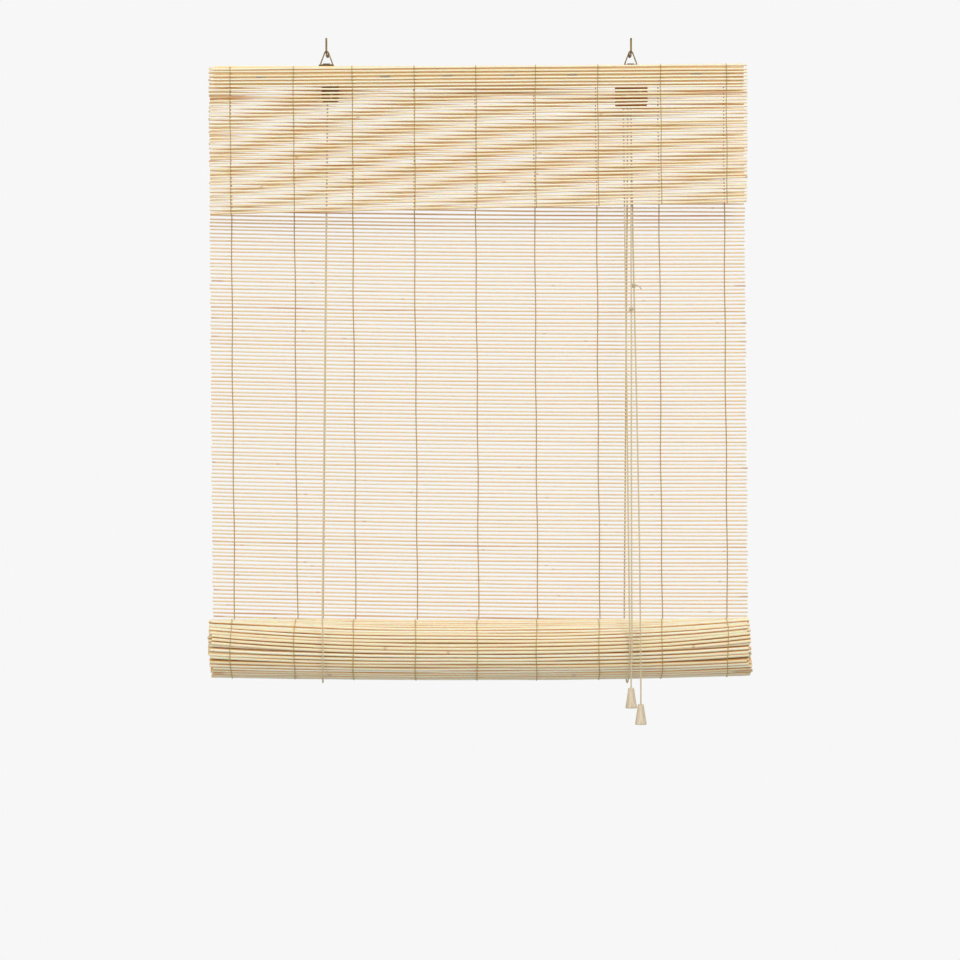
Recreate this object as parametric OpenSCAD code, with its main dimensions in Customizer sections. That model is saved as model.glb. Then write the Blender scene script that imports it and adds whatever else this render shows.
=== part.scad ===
// Roll up blind of bamboo splints bound by cotton threads, hung from two wall hooks.
// The lower mat is wound into a roll that lies in two cord slings.
// Millimetres. The origin is midway between the hook screws, on the wall's face.
// +X runs to the right, +Y into the wall and +Z up.

/* [Mat] */
// Width of the mat, along the splints
mat_w = 600; // [480:10:900]
// Thickness of one splint across its flats
slat_d = 2.3; // [1.8:0.1:2.8]
// Spacing of the splints in the hanging mat
slat_pitch = 4; // [3.6:0.1:5]
// Number of thread columns
thread_columns = 9; // [5:2:13]
// Distance from the mat's edge to the outer thread column
thread_inset = 23; // [12:1:50]
// Diameter of the binding thread
thread_d = 0.6; // [0.4:0.1:0.8]
// Width of the thread bundle that joins two splints
thread_link_w = 1.2; // [0.8:0.1:2]
// Thickness of the thread bundle that joins two splints
thread_link_t = 0.6; // [0.4:0.1:0.7]
// Distance from the wall to the middle of the hanging mat
mat_off = 6.8; // [6:0.1:12]
// Depth of the mat's upper edge below the hooks
mat_top_drop = 19; // [18:0.5:24]

/* [Valance] */
// Number of splints in the valance
valance_slats = 41; // [30:1:50]
// Spacing of the splints in the valance
valance_pitch = 3.9; // [3.4:0.1:4.4]
// Depth of the valance's upper splint below the hooks, at its middle
valance_top_drop = 17.4; // [16:0.1:22]
// Slope of the upper splint, higher on the right
valance_tilt_top = 0.37; // [0:0.01:0.6]
// Slope of the lower splint, higher on the right
valance_tilt_hem = 1.33; // [0:0.01:1.6]

/* [Roll] */
// Outer radius of the roll
roll_r = 35; // [28:0.5:42]
// Height of the blind, from the hooks down to the bottom of the roll
blind_h = 700; // [540:5:940]
// Radius of the bottom bar in the roll's core
bar_r = 6; // [4:0.5:9]
// Width of the slit between two turns
turn_slit = 0.6; // [0.4:0.1:0.9]

/* [Headrail] */
// Length of the headrail
headrail_l = 590; // [460:10:890]
// Depth of the headrail, from its back to its front
headrail_depth = 25; // [22:0.5:34]
// Height of the headrail
headrail_h = 21; // [18:0.5:30]
// Depth of the headrail's top below the hooks
headrail_drop = 16.2; // [16:0.1:22]
// Chamfer along the headrail's edges
headrail_chamfer = 1; // [0.5:0.1:2]

/* [Hangers] */
// Distance between the two hooks
hook_spacing = 340; // [260:5:420]
// Radius of the hook's wire
hook_r = 1.1; // [0.9:0.05:1.3]
// Radius of the hook's screw
hook_screw_r = 1.75; // [1.5:0.05:2.2]
// Length of the hook's screw in the wall
hook_screw_l = 18; // [12:1:30]
// Length of the screw's point
hook_point_l = 4; // [2:0.5:6]
// Distance from the wall to the hook's upright arm
hook_reach = 23; // [21:0.5:28]
// Height of the hook's tip above its shank
hook_h = 16.5; // [10:0.5:20]
// Radius of the hook's bend
hook_bend_r = 3; // [2.5:0.5:4]
// Distance from the wall to the ring
ring_off = 16; // [14:0.5:17]
// Radius of the ring's wire
ring_r = 0.7; // [0.5:0.05:0.8]
// Width of the ring between its lower corners
ring_w = 13; // [11:0.5:16]
// Width of the hanger plate
plate_w = 17; // [15:0.5:24]
// Depth of the hanger plate
plate_depth = 14; // [12:0.5:16]
// Thickness of the hanger plate
plate_t = 1; // [0.8:0.1:1.4]
// Outer radius of the knuckle that holds the ring
knuckle_r = 1.7; // [1.6:0.1:2]
// Length of the knuckle
knuckle_l = 8; // [5:0.5:9]
// Diameter of a nail's shank
nail_d = 1.6; // [1.2:0.1:2]
// Length of a nail's shank
nail_l = 11; // [8:1:15]

/* [Pulleys] */
// Radius at which the cord's middle runs over a wheel
wheel_r = 4.4; // [3.8:0.1:5]
// Radius of a wheel's flanges
flange_r = 5.6; // [5.2:0.1:6]
// Width of a wheel
wheel_w = 4.6; // [4:0.1:5]
// Radius of a wheel's axle
axle_r = 1.5; // [1.2:0.1:1.8]
// Depth of the wheels' axles below the headrail
wheel_drop = 11.5; // [10:0.5:14]
// Thickness of the brackets' sheet metal
sheet_t = 1; // [0.8:0.1:1.2]
// Width of the left pulley's bracket
bracket_w = 19; // [17:0.5:24]
// Height of the left pulley's bracket
bracket_h = 18.5; // [17:0.5:24]
// Width of the cord lock
lock_w = 36; // [35:0.5:44]
// Height of the cord lock
lock_h = 24; // [23:0.5:30]
// Distance from the headrail's back to the middle of the cord lock
lock_inset = 8.5; // [7.5:0.1:9]
// Rounding of the brackets' lower corners
cheek_round = 5; // [2:0.5:7]
// Radius of a bracket screw's shank
screw_r = 1.3; // [1:0.1:1.6]
// Length of a bracket screw in the wood
screw_l = 11; // [8:1:15]
// Distance of the pawl's pin to the right of the wheels' axle
pawl_pin_dx = 14.2; // [13.8:0.1:15]
// Height of the pawl's pin above the wheels' axle
pawl_pin_dz = 4; // [3:0.5:5]
// Radius of the pawl's eye
pawl_eye_r = 4; // [3:0.25:4.25]
// Depth of the pawl's teeth
tooth_h = 0.8; // [0.4:0.1:1]

/* [Cords] */
// Diameter of the lift and pull cords
cord_d = 1.6; // [1.2:0.1:1.8]
// How far the left sling lies outside its hook
left_sling_out = 3.5; // [-8:0.5:8]
// How far the right sling lies inside its hook
right_sling_in = 3.5; // [-8:0.5:8]
// Radius of the knots in the pull cords
knot_r = 2.3; // [1.8:0.1:2.6]
// Height of a tassel
tassel_h = 22.5; // [18:0.5:30]
// Radius of a tassel's foot
tassel_foot_r = 6.4; // [5:0.1:7.5]
// Radius of a tassel's top
tassel_top_r = 3.4; // [2.8:0.1:4.5]
// Depth of the hollow under a tassel
tassel_hollow = 13; // [10:0.5:16]

/* [Staples] */
// Diameter of the staple wire
staple_d = 0.9; // [0.6:0.1:1.1]
// Width of a staple's crown
staple_w = 10; // [8:0.5:14]
// Length of a staple's legs in the wood
staple_l = 8; // [5:0.5:10]

/* [Hidden] */
$fn = 48;
// Clearance between parts that move past each other
run_gap = 0.3;
// Clearance between parts that lie against each other
seat_gap = 0.1;
// Clearance between a thread and the splints under it
thread_gap = 0.03;
// Clearance of an axle in a wheel, and of a pin in its sheet metal
bore_gap = 0.05;
pin_gap = 0.02;

bamboo = "#ecd9ae";
pale_wood = "#e0c89c";
cotton = "#a8894f";
ivory = "#e6dcc4";
bronze = "#6b5133";
brass = "#8a7440";
steel = "#b9b7b0";

// Half a splint, and half the width of one flat of its eight-sided section
slat_r = slat_d / 2;
slat_flat = slat_r * tan(22.5);

// Depths of the layers, from the wall to the room
mat_y = -mat_off;
thread_y = slat_r + thread_gap + thread_d / 2;
mat_face = slat_r + thread_gap + thread_d;
headrail_back = mat_y - mat_face - seat_gap;
headrail_front = headrail_back - headrail_depth;
valance_y = headrail_front - seat_gap - mat_face;
roll_y = mat_y - mat_face - run_gap - roll_r - thread_gap - thread_d;

// Heights
mat_top = -mat_top_drop;
roll_z = roll_r - blind_h;
headrail_top = -headrail_drop;
headrail_bottom = headrail_top - headrail_h;

// Thread columns
column_pitch = (mat_w - 2 * thread_inset) / (thread_columns - 1);
columns = [for (i = [0:thread_columns - 1]) thread_inset - mat_w / 2 + i * column_pitch];

// The hanging mat's splints. Gaps are open from the valance's hem to the top of the roll.
mat_slats = floor((mat_top - slat_r - roll_z) / slat_pitch) + 1;
hem_drop = valance_top_drop + (valance_slats - 1) * valance_pitch - mat_w / 2 * tan(valance_tilt_hem);
first_open = floor((hem_drop - mat_top_drop) / slat_pitch);
last_open = min(mat_slats - 2, ceil((blind_h - 2 * roll_r - mat_top_drop) / slat_pitch) + 1);
function slat_z(i) = mat_top - slat_r - i * slat_pitch;

// The valance's splints
function valance_z(i) = -valance_top_drop - i * valance_pitch;
function valance_tilt(i) =
    valance_tilt_top + (valance_tilt_hem - valance_tilt_top) * i / (valance_slats - 1);

// The roll's outer turn and its spiral slit
turn_r = roll_r - slat_r;
roll_slats = floor(360 / (2 * asin(slat_pitch * 0.475 / turn_r)));
turn_floor = turn_r - 0.3;
core_r = bar_r + 0.2;
turn_pitch = slat_d + turn_slit;
slit_start = core_r + slat_d;
slit_end = turn_floor - 1 - turn_slit;
slit_steps = 24;
slit_points = floor((slit_end - slit_start) / turn_pitch * slit_steps);

// Cord slings: about the roll in front and below, then out behind the mat
sling_r = roll_r + thread_gap + thread_d + run_gap + cord_d / 2;
left_sling_x = hook_spacing / 2 + left_sling_out;
right_sling_x = hook_spacing / 2 - right_sling_in;
left_anchor_x = hook_spacing / 2 - 1;
right_anchor_x = hook_spacing / 2 - 2.5;
back_run_y = mat_y + slat_r + 2 * run_gap + cord_d / 2;
back_bend_r = back_run_y - roll_y;
sling_front_y = roll_y - sling_r;
sling_back_z = roll_z - sling_r + back_bend_r;
// Clearance between two stretches of a cord
cord_end_gap = 0.2;

// Hangers: the ring's apex runs round the hook's shank, its base bar lies in the knuckle.
// Its sides touch the apex bend and the corner bends at the angle ring_side_a.
hook_xs = [-hook_spacing / 2, hook_spacing / 2];
ring_swell = 0.04;
ring_lap = 0.3;
ring_apex_r = hook_r + run_gap + ring_r + ring_swell;
ring_corner_r = 1.5;
ring_base_z = headrail_top + plate_t + knuckle_r + 0.5;
ring_corner = [ring_w / 2 - ring_corner_r, 0, ring_base_z + ring_corner_r];
ring_side_a = atan2(ring_corner.z, ring_corner.x) + acos((ring_apex_r - ring_corner_r) / norm(ring_corner));
nail_dx = plate_w / 2 - 3;
nail_dy = plate_depth / 2 - 3;

// Pulleys: a front and a rear wheel in the lock, and the left wheel in line with the rear one
wheel_z = headrail_bottom - wheel_drop;
wheel_spacing = wheel_w + 2 * run_gap;
lock_y = headrail_back - lock_inset;
front_wheel_y = lock_y - wheel_spacing / 2;
rear_wheel_y = lock_y + wheel_spacing / 2;
lock_inner = wheel_spacing + wheel_w + 2 * run_gap;
bracket_inner = wheel_w + 2 * run_gap;
left_wheel_x = -hook_spacing / 2 + wheel_r + 1;
lock_wheel_x = hook_spacing / 2 - wheel_r + 0.2;
lock_x = hook_spacing / 2 + 0.5;
bracket_x = left_wheel_x - 1.4;
lock_screw_dx = lock_w / 2 - 3.5;
bracket_screw_dx = bracket_w / 2 - 3;
pawl_x = lock_wheel_x + pawl_pin_dx;
pawl_z = wheel_z + pawl_pin_dz;
pawl_nose = pawl_pin_dx - wheel_r - cord_d / 2 - run_gap;
rivet_r = axle_r + 0.9;
rivet_t = 0.8;

// Staple places along the headrail, between the thread columns, and the splint gap each row lies in
staple_xs = [for (s = [-1, 1], k = [0.5, 1.5, 3.5]) s * k * column_pitch];
mat_staple_row = 2;
valance_staple_row = 2;
anchor_z = mat_top - slat_r - slat_pitch / 2;

// Routes of the pull cords, from the lock's wheels past the roll to the tassels
pull_x = hook_spacing / 2;
pull_y = roll_y - sling_r - 2.6;
// Shares of the way from the wheels to the roll's height, with each cord's drift to the right there
left_run = [
    [0, 0.2], [0.033, 0.2], [0.081, 0.1], [0.146, 0], [0.211, -0.2], [0.276, -0.4], [0.333, -0.5],
    [0.3805, -0.5], [0.387, -0.5], [0.3935, -0.5], [0.455, -0.6], [0.537, -0.8], [0.618, -1.1],
    [0.699, -1.2], [0.78, -1.3], [0.862, -1.4], [0.943, -1.4], [1, -1.4]
];
right_run = [
    [0, 0.2], [0.033, 0.3], [0.081, 0.5], [0.146, 0.9], [0.211, 1.5], [0.276, 2], [0.338, 2.6],
    [0.3445, 2.7], [0.351, 2.8], [0.407, 3.4], [0.488, 4.3], [0.569, 5.2], [0.65, 6], [0.732, 6.8],
    [0.813, 7.4], [0.894, 7.8], [0.959, 8], [1, 8.1]
];
function run_down(run, wheel_y) = [for (p = run)
    [pull_x + p[1], wheel_y + (pull_y - wheel_y) * p[0], wheel_z + (roll_z - wheel_z) * p[0]]];
// Below the roll's middle each cord hangs straight into its tassel
left_end = [pull_x - 2.4, pull_y - 3.1, roll_z - 49.7];
right_end = [pull_x + 8.2, pull_y - 3.1, roll_z - 67.7];
left_route = concat(run_down(left_run, front_wheel_y), [left_end + [0, 0.3, 23], left_end]);
right_route = concat(run_down(right_run, rear_wheel_y), [right_end + [0, 0.3, 35], right_end]);
left_knot = 8;
right_knot = 7;
// Height of a tassel's top above the end of its cord, and the bore in it
tassel_grip = tassel_h - tassel_hollow;
tassel_bore_r = cord_d / 2 + run_gap;
tassel_hollow_r = tassel_foot_r - 2.2;
end_knot_r = knot_r - 0.2;

// Lays a profile drawn in Y and Z along X, about the blind's middle
module along_x(length) {
    translate([-length / 2, 0, 0]) rotate([90, 0, 90]) linear_extrude(length) children();
}

// Lays a profile drawn in X and Z along Y, about y = 0
module along_y(length) {
    translate([0, length / 2, 0]) rotate([90, 0, 0]) linear_extrude(length) children();
}

// Turns a shape that lies about the Z axis to lie about the Y axis, with its front to the room
module about_y() {
    rotate([90, 0, 0]) children();
}

// A round rod from p to q
module rod(p, q, d) {
    v = q - p;
    translate(p) rotate([0, acos(v.z / norm(v)), atan2(v.y, v.x)]) cylinder(h = norm(v), d = d);
}

// A bent stretch of round wire about the Z axis, from angle a0 through the angle given
module bend(radius, wire_r, a0, angle) {
    rotate([0, 0, a0]) rotate_extrude(angle = angle) translate([radius, 0]) circle(r = wire_r);
}

// One eight-sided splint along X
module splint() {
    along_x(mat_w) rotate(22.5) circle(r = slat_r / cos(22.5), $fn = 8);
}

// Ridged wall of splints i0 to i1, drawn in Y and Z
function ridge(i) = [
    [slat_flat, slat_z(i) + slat_r], [slat_r, slat_z(i) + slat_flat],
    [slat_r, slat_z(i) - slat_flat], [slat_flat, slat_z(i) - slat_r]
];
module ridged_wall(i0, i1) {
    back = [for (i = [i0:i1], p = ridge(i)) p];
    front = [for (k = [len(back) - 1:-1:0]) [-back[k].x, back[k].y]];
    translate([0, mat_y, 0]) along_x(mat_w) polygon(concat(front, back));
}

// A strip of thread bundles that joins splints between two heights
module thread_link(x, y, z0, z1) {
    translate([x - thread_link_w / 2, y - thread_link_t / 2, z1])
        cube([thread_link_w, thread_link_t, z0 - z1]);
}

// Front and back strands of every thread column between two heights
module strands(y, z0, z1) {
    for (x = columns, side = [-1, 1])
        translate([x, y + side * thread_y, z1]) cylinder(h = z0 - z1, d = thread_d);
}

// A staple with its crown along X at the origin and its legs along Y, to the side given
module staple(width, legs, side) {
    rod([-width / 2, 0, 0], [width / 2, 0, 0], staple_d);
    for (x = [-width / 2, width / 2]) {
        translate([x, 0, 0]) sphere(d = staple_d);
        rod([x, 0, 0], [x, side * legs, 0], staple_d);
    }
}

module headrail() {
    c = headrail_chamfer;
    color(pale_wood) along_x(headrail_l) polygon([
        [headrail_back - c, headrail_top], [headrail_back, headrail_top - c],
        [headrail_back, headrail_bottom + c], [headrail_back - c, headrail_bottom],
        [headrail_front + c, headrail_bottom], [headrail_front, headrail_bottom + c],
        [headrail_front, headrail_top - c], [headrail_front + c, headrail_top]
    ]);
}

// Screw in the wall, shank out to the room, bend and upright arm with a rounded tip
module wall_hook(x) {
    color(brass) translate([x, 0, 0]) {
        rotate([-90, 0, 0]) cylinder(h = hook_screw_l - hook_point_l, r = hook_screw_r);
        translate([0, hook_screw_l - hook_point_l, 0]) rotate([-90, 0, 0])
            cylinder(h = hook_point_l, r1 = hook_screw_r, r2 = 0.3);
        rod([0, 0, 0], [0, hook_bend_r - hook_reach, 0], hook_r * 2);
        translate([0, hook_bend_r - hook_reach, hook_bend_r]) rotate([90, 0, 90])
            bend(hook_bend_r, hook_r, 180, 90);
        translate([0, -hook_reach, hook_bend_r]) cylinder(h = hook_h - hook_bend_r - hook_r, r = hook_r);
        translate([0, -hook_reach, hook_h - hook_r]) sphere(r = hook_r);
    }
}
module left_wall_hook() { wall_hook(hook_xs[0]); }
module right_wall_hook() { wall_hook(hook_xs[1]); }

// Sheet plate nailed on the headrail, with a knuckle round the ring's base bar
module hanger_plate(x) {
    web_t = knuckle_r;
    color(bronze) translate([x, -ring_off, 0]) difference() {
        union() {
            translate([-plate_w / 2, -plate_depth / 2, headrail_top])
                cube([plate_w, plate_depth, plate_t]);
            translate([-knuckle_l / 2, 0, ring_base_z]) rotate([0, 90, 0])
                cylinder(h = knuckle_l, r = knuckle_r);
            translate([-knuckle_l / 2, -web_t / 2, headrail_top])
                cube([knuckle_l, web_t, ring_base_z - headrail_top]);
        }
        translate([-plate_w / 2, 0, ring_base_z]) rotate([0, 90, 0])
            cylinder(h = plate_w, r = ring_r + bore_gap);
        for (s = [-1, 1]) translate([s * nail_dx, s * nail_dy, headrail_top - 1])
            cylinder(h = plate_t + 2, d = nail_d + 2 * pin_gap);
    }
}
module left_hanger_plate() { hanger_plate(hook_xs[0]); }
module right_hanger_plate() { hanger_plate(hook_xs[1]); }

module hanger_nails() {
    color(steel) for (x = hook_xs, s = [-1, 1])
        translate([x + s * nail_dx, -ring_off + s * nail_dy, headrail_top + plate_t]) {
            cylinder(h = 0.7, d = 2 * nail_d);
            translate([0, 0, -nail_l]) cylinder(h = nail_l, d = nail_d);
        }
}

// Triangular wire ring: a bend over the hook's shank, two sides, two corner bends and the base bar.
// The straight wires end inside the bends, where the wire is pressed a little thicker.
module hanger_ring(x) {
    outward = [cos(ring_side_a), 0, sin(ring_side_a)];
    along = [sin(ring_side_a), 0, -cos(ring_side_a)];
    side_top = ring_apex_r * outward - ring_lap * along;
    side_foot = ring_corner + ring_corner_r * outward + ring_lap * along;
    base_end = [ring_corner.x + ring_lap, 0, ring_base_z];
    bend_r = ring_r + ring_swell;
    color(brass) translate([x, -ring_off, 0]) {
        about_y() bend(ring_apex_r, bend_r, ring_side_a, 180 - 2 * ring_side_a);
        for (s = [-1, 1])
            rod([s * side_top.x, 0, side_top.z], [s * side_foot.x, 0, side_foot.z], ring_r * 2);
        translate(ring_corner) about_y() bend(ring_corner_r, bend_r, -90, 90 + ring_side_a);
        translate([-ring_corner.x, 0, ring_corner.z]) about_y()
            bend(ring_corner_r, bend_r, 180 - ring_side_a, 90 + ring_side_a);
        rod([-base_end.x, 0, base_end.z], base_end, ring_r * 2);
    }
}
module left_hanger_ring() { hanger_ring(hook_xs[0]); }
module right_hanger_ring() { hanger_ring(hook_xs[1]); }

// Splints with open gaps below the valance, ridges only behind the valance and the roll
module hanging_mat() {
    color(bamboo) {
        ridged_wall(0, first_open);
        for (i = [first_open + 1:last_open - 1]) translate([0, mat_y, slat_z(i)]) splint();
        ridged_wall(last_open, mat_slats - 1);
        for (x = [columns[0], columns[thread_columns - 1]])
            thread_link(x, mat_y, slat_z(first_open), slat_z(last_open));
    }
}

module mat_threads() {
    color(cotton) strands(mat_y, mat_top, roll_z);
}

module mat_staples() {
    z = (slat_z(mat_staple_row) + slat_z(mat_staple_row + 1)) / 2;
    y = mat_y + slat_flat + seat_gap + staple_d / 2;
    color(steel) for (x = staple_xs)
        translate([x, y, z]) staple(staple_w, y - headrail_back + staple_l, -1);
}

module valance() {
    color(bamboo) {
        for (i = [0:valance_slats - 1]) translate([0, valance_y, valance_z(i)])
            rotate([0, -valance_tilt(i), 0]) splint();
        for (x = [columns[0], columns[thread_columns - 1]])
            thread_link(x, valance_y, valance_z(0) + x * tan(valance_tilt_top),
                valance_z(valance_slats - 1) + x * tan(valance_tilt_hem));
    }
}

module valance_threads() {
    color(cotton) for (x = columns, side = [-1, 1]) {
        top = valance_z(0) + x * tan(valance_tilt_top) + slat_r;
        hem = valance_z(valance_slats - 1) + x * tan(valance_tilt_hem) - slat_r;
        translate([x, valance_y + side * thread_y, hem]) cylinder(h = top - hem, d = thread_d);
    }
}

module valance_staples() {
    row = valance_staple_row;
    tilt = valance_tilt(row + 0.5);
    color(steel) for (x = staple_xs)
        translate([x, valance_y, (valance_z(row) + valance_z(row + 1)) / 2 + x * tan(tilt)])
            rotate([0, -tilt, 0]) staple(staple_w, headrail_front - valance_y + staple_l, 1);
}

// One cheek of a bracket, drawn in X and Z, with its upper edge on the headrail
module cheek(width, height) {
    r = cheek_round;
    translate([-width / 2, headrail_bottom - height + r]) square([width, height - r]);
    translate([r - width / 2, headrail_bottom - height]) square([width - 2 * r, 2 * r]);
    for (s = [-1, 1]) translate([s * (width / 2 - r), headrail_bottom - height + r]) circle(r = r);
}

// U-shaped bracket of sheet metal, open at its ends and below
module bracket(width, height, inner) {
    for (s = [-1, 1]) translate([0, s * (inner + sheet_t) / 2, 0]) along_y(sheet_t) cheek(width, height);
    translate([-width / 2, -inner / 2 - sheet_t, headrail_bottom - sheet_t])
        cube([width, inner + 2 * sheet_t, sheet_t]);
}

// A riveted pin across a bracket, about y = 0
module rivet(inner) {
    length = inner + 2 * sheet_t;
    about_y() {
        translate([0, 0, -length / 2]) cylinder(h = length, r = axle_r);
        for (s = [-1, 1]) translate([0, 0, s * (length + rivet_t) / 2])
            cylinder(h = rivet_t, r = rivet_r, center = true);
    }
}

// Grooved wheel about the Y axis
module wheel() {
    groove_r = wheel_r - cord_d / 2 - 0.2;
    groove_w = cord_d / 2 + run_gap;
    about_y() rotate_extrude() polygon([
        [axle_r + bore_gap, -wheel_w / 2], [flange_r, -wheel_w / 2], [flange_r, -groove_w - 0.4],
        [groove_r, -groove_w], [groove_r, groove_w], [flange_r, groove_w + 0.4],
        [flange_r, wheel_w / 2], [axle_r + bore_gap, wheel_w / 2]
    ]);
}

module screw_holes(x, y, dx) {
    for (s = [-1, 1]) translate([x + s * dx, y, headrail_bottom - sheet_t - 1])
        cylinder(h = sheet_t + 2, r = screw_r + pin_gap);
}

module left_pulley_bracket() {
    color(bronze) difference() {
        translate([bracket_x, rear_wheel_y, 0]) bracket(bracket_w, bracket_h, bracket_inner);
        translate([left_wheel_x, rear_wheel_y, wheel_z]) about_y()
            cylinder(h = bracket_inner + 4 * sheet_t, r = axle_r + pin_gap, center = true);
        screw_holes(bracket_x, rear_wheel_y, bracket_screw_dx);
    }
}

module left_pulley_axle() {
    color(steel) translate([left_wheel_x, rear_wheel_y, wheel_z]) rivet(bracket_inner);
}

module left_pulley_wheel() {
    color(brass) translate([left_wheel_x, rear_wheel_y, wheel_z]) wheel();
}

module cord_lock_housing() {
    color(bronze) difference() {
        translate([lock_x, lock_y, 0]) bracket(lock_w, lock_h, lock_inner);
        for (p = [[lock_wheel_x, wheel_z], [pawl_x, pawl_z]]) translate([p.x, lock_y, p.y]) about_y()
            cylinder(h = lock_inner + 4 * sheet_t, r = axle_r + pin_gap, center = true);
        screw_holes(lock_x, lock_y, lock_screw_dx);
    }
}

module lock_axle() {
    color(steel) translate([lock_wheel_x, lock_y, wheel_z]) rivet(lock_inner);
}

module lock_front_wheel() {
    color(brass) translate([lock_wheel_x, front_wheel_y, wheel_z]) wheel();
}

module lock_rear_wheel() {
    color(brass) translate([lock_wheel_x, rear_wheel_y, wheel_z]) wheel();
}

// Toothed pawl that pinches the cords against the wheels
module lock_pawl() {
    teeth = 4;
    tooth_pitch = 1.4;
    upper = -7;
    face = [for (k = [0:teeth - 1], p = [[0, 0], [tooth_h, 0.7]])
        [p.x - pawl_nose, upper - (k + p.y) * tooth_pitch]];
    color(steel) translate([pawl_x, lock_y, pawl_z]) difference() {
        along_y(lock_inner - 2 * run_gap) {
            circle(r = pawl_eye_r);
            polygon(concat(
                [[-0.6 * pawl_eye_r, 0.8 * pawl_eye_r], [2.2 - pawl_nose, upper + 1]], face,
                [[1 - pawl_nose, upper - teeth * tooth_pitch], [0.8 * pawl_eye_r, -0.6 * pawl_eye_r]]
            ));
        }
        about_y() cylinder(h = 2 * lock_inner, r = axle_r + bore_gap, center = true);
    }
}

module lock_pawl_pin() {
    color(steel) translate([pawl_x, lock_y, pawl_z]) rivet(lock_inner);
}

module bracket_screws() {
    head_r = screw_r + 1.3;
    head_h = 1.4;
    places = [
        for (s = [-1, 1]) [bracket_x + s * bracket_screw_dx, rear_wheel_y],
        for (s = [-1, 1]) [lock_x + s * lock_screw_dx, lock_y]
    ];
    color(steel) for (p = places) translate([p.x, p.y, headrail_bottom - sheet_t]) {
        cylinder(h = screw_l + sheet_t, r = screw_r);
        translate([0, 0, -head_h]) cylinder(h = head_h, r1 = head_r - 0.5, r2 = head_r);
    }
}

// Lift cord from a wheel's left side down to the front of its sling
module front_run(wheel_x, wheel_y, sling_x) {
    color(ivory) rod([wheel_x - wheel_r, wheel_y, wheel_z - cord_end_gap],
        [sling_x, sling_front_y, roll_z + cord_end_gap], cord_d);
}
module left_cord_front_run() { front_run(left_wheel_x, rear_wheel_y, -left_sling_x); }
module right_cord_front_run() { front_run(lock_wheel_x, front_wheel_y, right_sling_x); }

// Lift cord behind the mat, from its sling up to a knot above its staple
module back_run(sling_x, anchor_x) {
    knot = [anchor_x, back_run_y, anchor_z + 4];
    color(ivory) {
        rod([sling_x, back_run_y, sling_back_z + cord_end_gap], knot, cord_d);
        translate(knot) sphere(r = cord_d / 2 + run_gap);
    }
}
module left_cord_back_run() { back_run(-left_sling_x, -left_anchor_x); }
module right_cord_back_run() { back_run(right_sling_x, right_anchor_x); }

// Left cord over its wheel, along the headrail and over the lock's rear wheel
module left_cord_cross_run() {
    color(ivory) translate([0, rear_wheel_y, wheel_z]) {
        translate([left_wheel_x, 0, 0]) about_y() bend(wheel_r, cord_d / 2, 90, 90);
        rod([left_wheel_x, 0, wheel_r], [lock_wheel_x, 0, wheel_r], cord_d);
        translate([lock_wheel_x, 0, 0]) about_y() bend(wheel_r, cord_d / 2, 0, 90);
    }
}

module right_cord_over_wheel() {
    color(ivory) translate([lock_wheel_x, front_wheel_y, wheel_z]) about_y()
        bend(wheel_r, cord_d / 2, 0, 180);
}

module cord_anchor_staples() {
    y = back_run_y + cord_d / 2 + seat_gap + staple_d / 2;
    width = cord_d + 2 * run_gap + staple_d;
    color(steel) for (x = [-left_anchor_x, right_anchor_x])
        translate([x, y, anchor_z]) staple(width, y - headrail_back + staple_l, -1);
}

// Cord under the roll: a quarter turn about the roll, then a wider one out behind the mat
module sling(x) {
    color(ivory) {
        translate([x, roll_y, roll_z]) rotate([90, 0, 90]) bend(sling_r, cord_d / 2, 180, 90);
        translate([x, roll_y, sling_back_z]) rotate([90, 0, 90]) bend(back_bend_r, cord_d / 2, 270, 90);
    }
}
module left_cord_sling() { sling(-left_sling_x); }
module right_cord_sling() { sling(right_sling_x); }

// Outline of the roll: splints side by side round the outer turn
function on_turn(a, radial, tangent) =
    [radial * cos(a) - tangent * sin(a), radial * sin(a) + tangent * cos(a)];
roll_outline = [for (k = [0:roll_slats - 1], p = [
    [turn_floor, -slat_r], [turn_r + slat_flat, -slat_r], [roll_r, -slat_flat],
    [roll_r, slat_flat], [turn_r + slat_flat, slat_r], [turn_floor, slat_r]
]) on_turn(360 * k / roll_slats, p.x, p.y)];

// Outline of the spiral slit between the turns
function on_slit(k, side) =
    let (r = slit_start + turn_pitch * k / slit_steps + side * turn_slit / 2)
    on_turn(360 * k / slit_steps, r, 0);
slit_outline = concat(
    [for (k = [0:slit_points]) on_slit(k, -1)], [for (k = [slit_points:-1:0]) on_slit(k, 1)]
);

// The turns of the mat round the bottom bar
module mat_roll() {
    color(bamboo) translate([0, roll_y, roll_z]) along_x(mat_w) difference() {
        polygon(roll_outline);
        polygon(slit_outline);
        circle(r = core_r);
    }
}

module roll_threads() {
    color(cotton) for (x = columns) translate([x, roll_y, roll_z]) rotate([0, 90, 0])
        rotate_extrude() translate([roll_r + thread_gap, -thread_d / 2]) square(thread_d);
}

module bottom_bar() {
    color(pale_wood) translate([-mat_w / 2, roll_y, roll_z]) rotate([0, 90, 0])
        cylinder(h = mat_w, r = bar_r);
}

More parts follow.
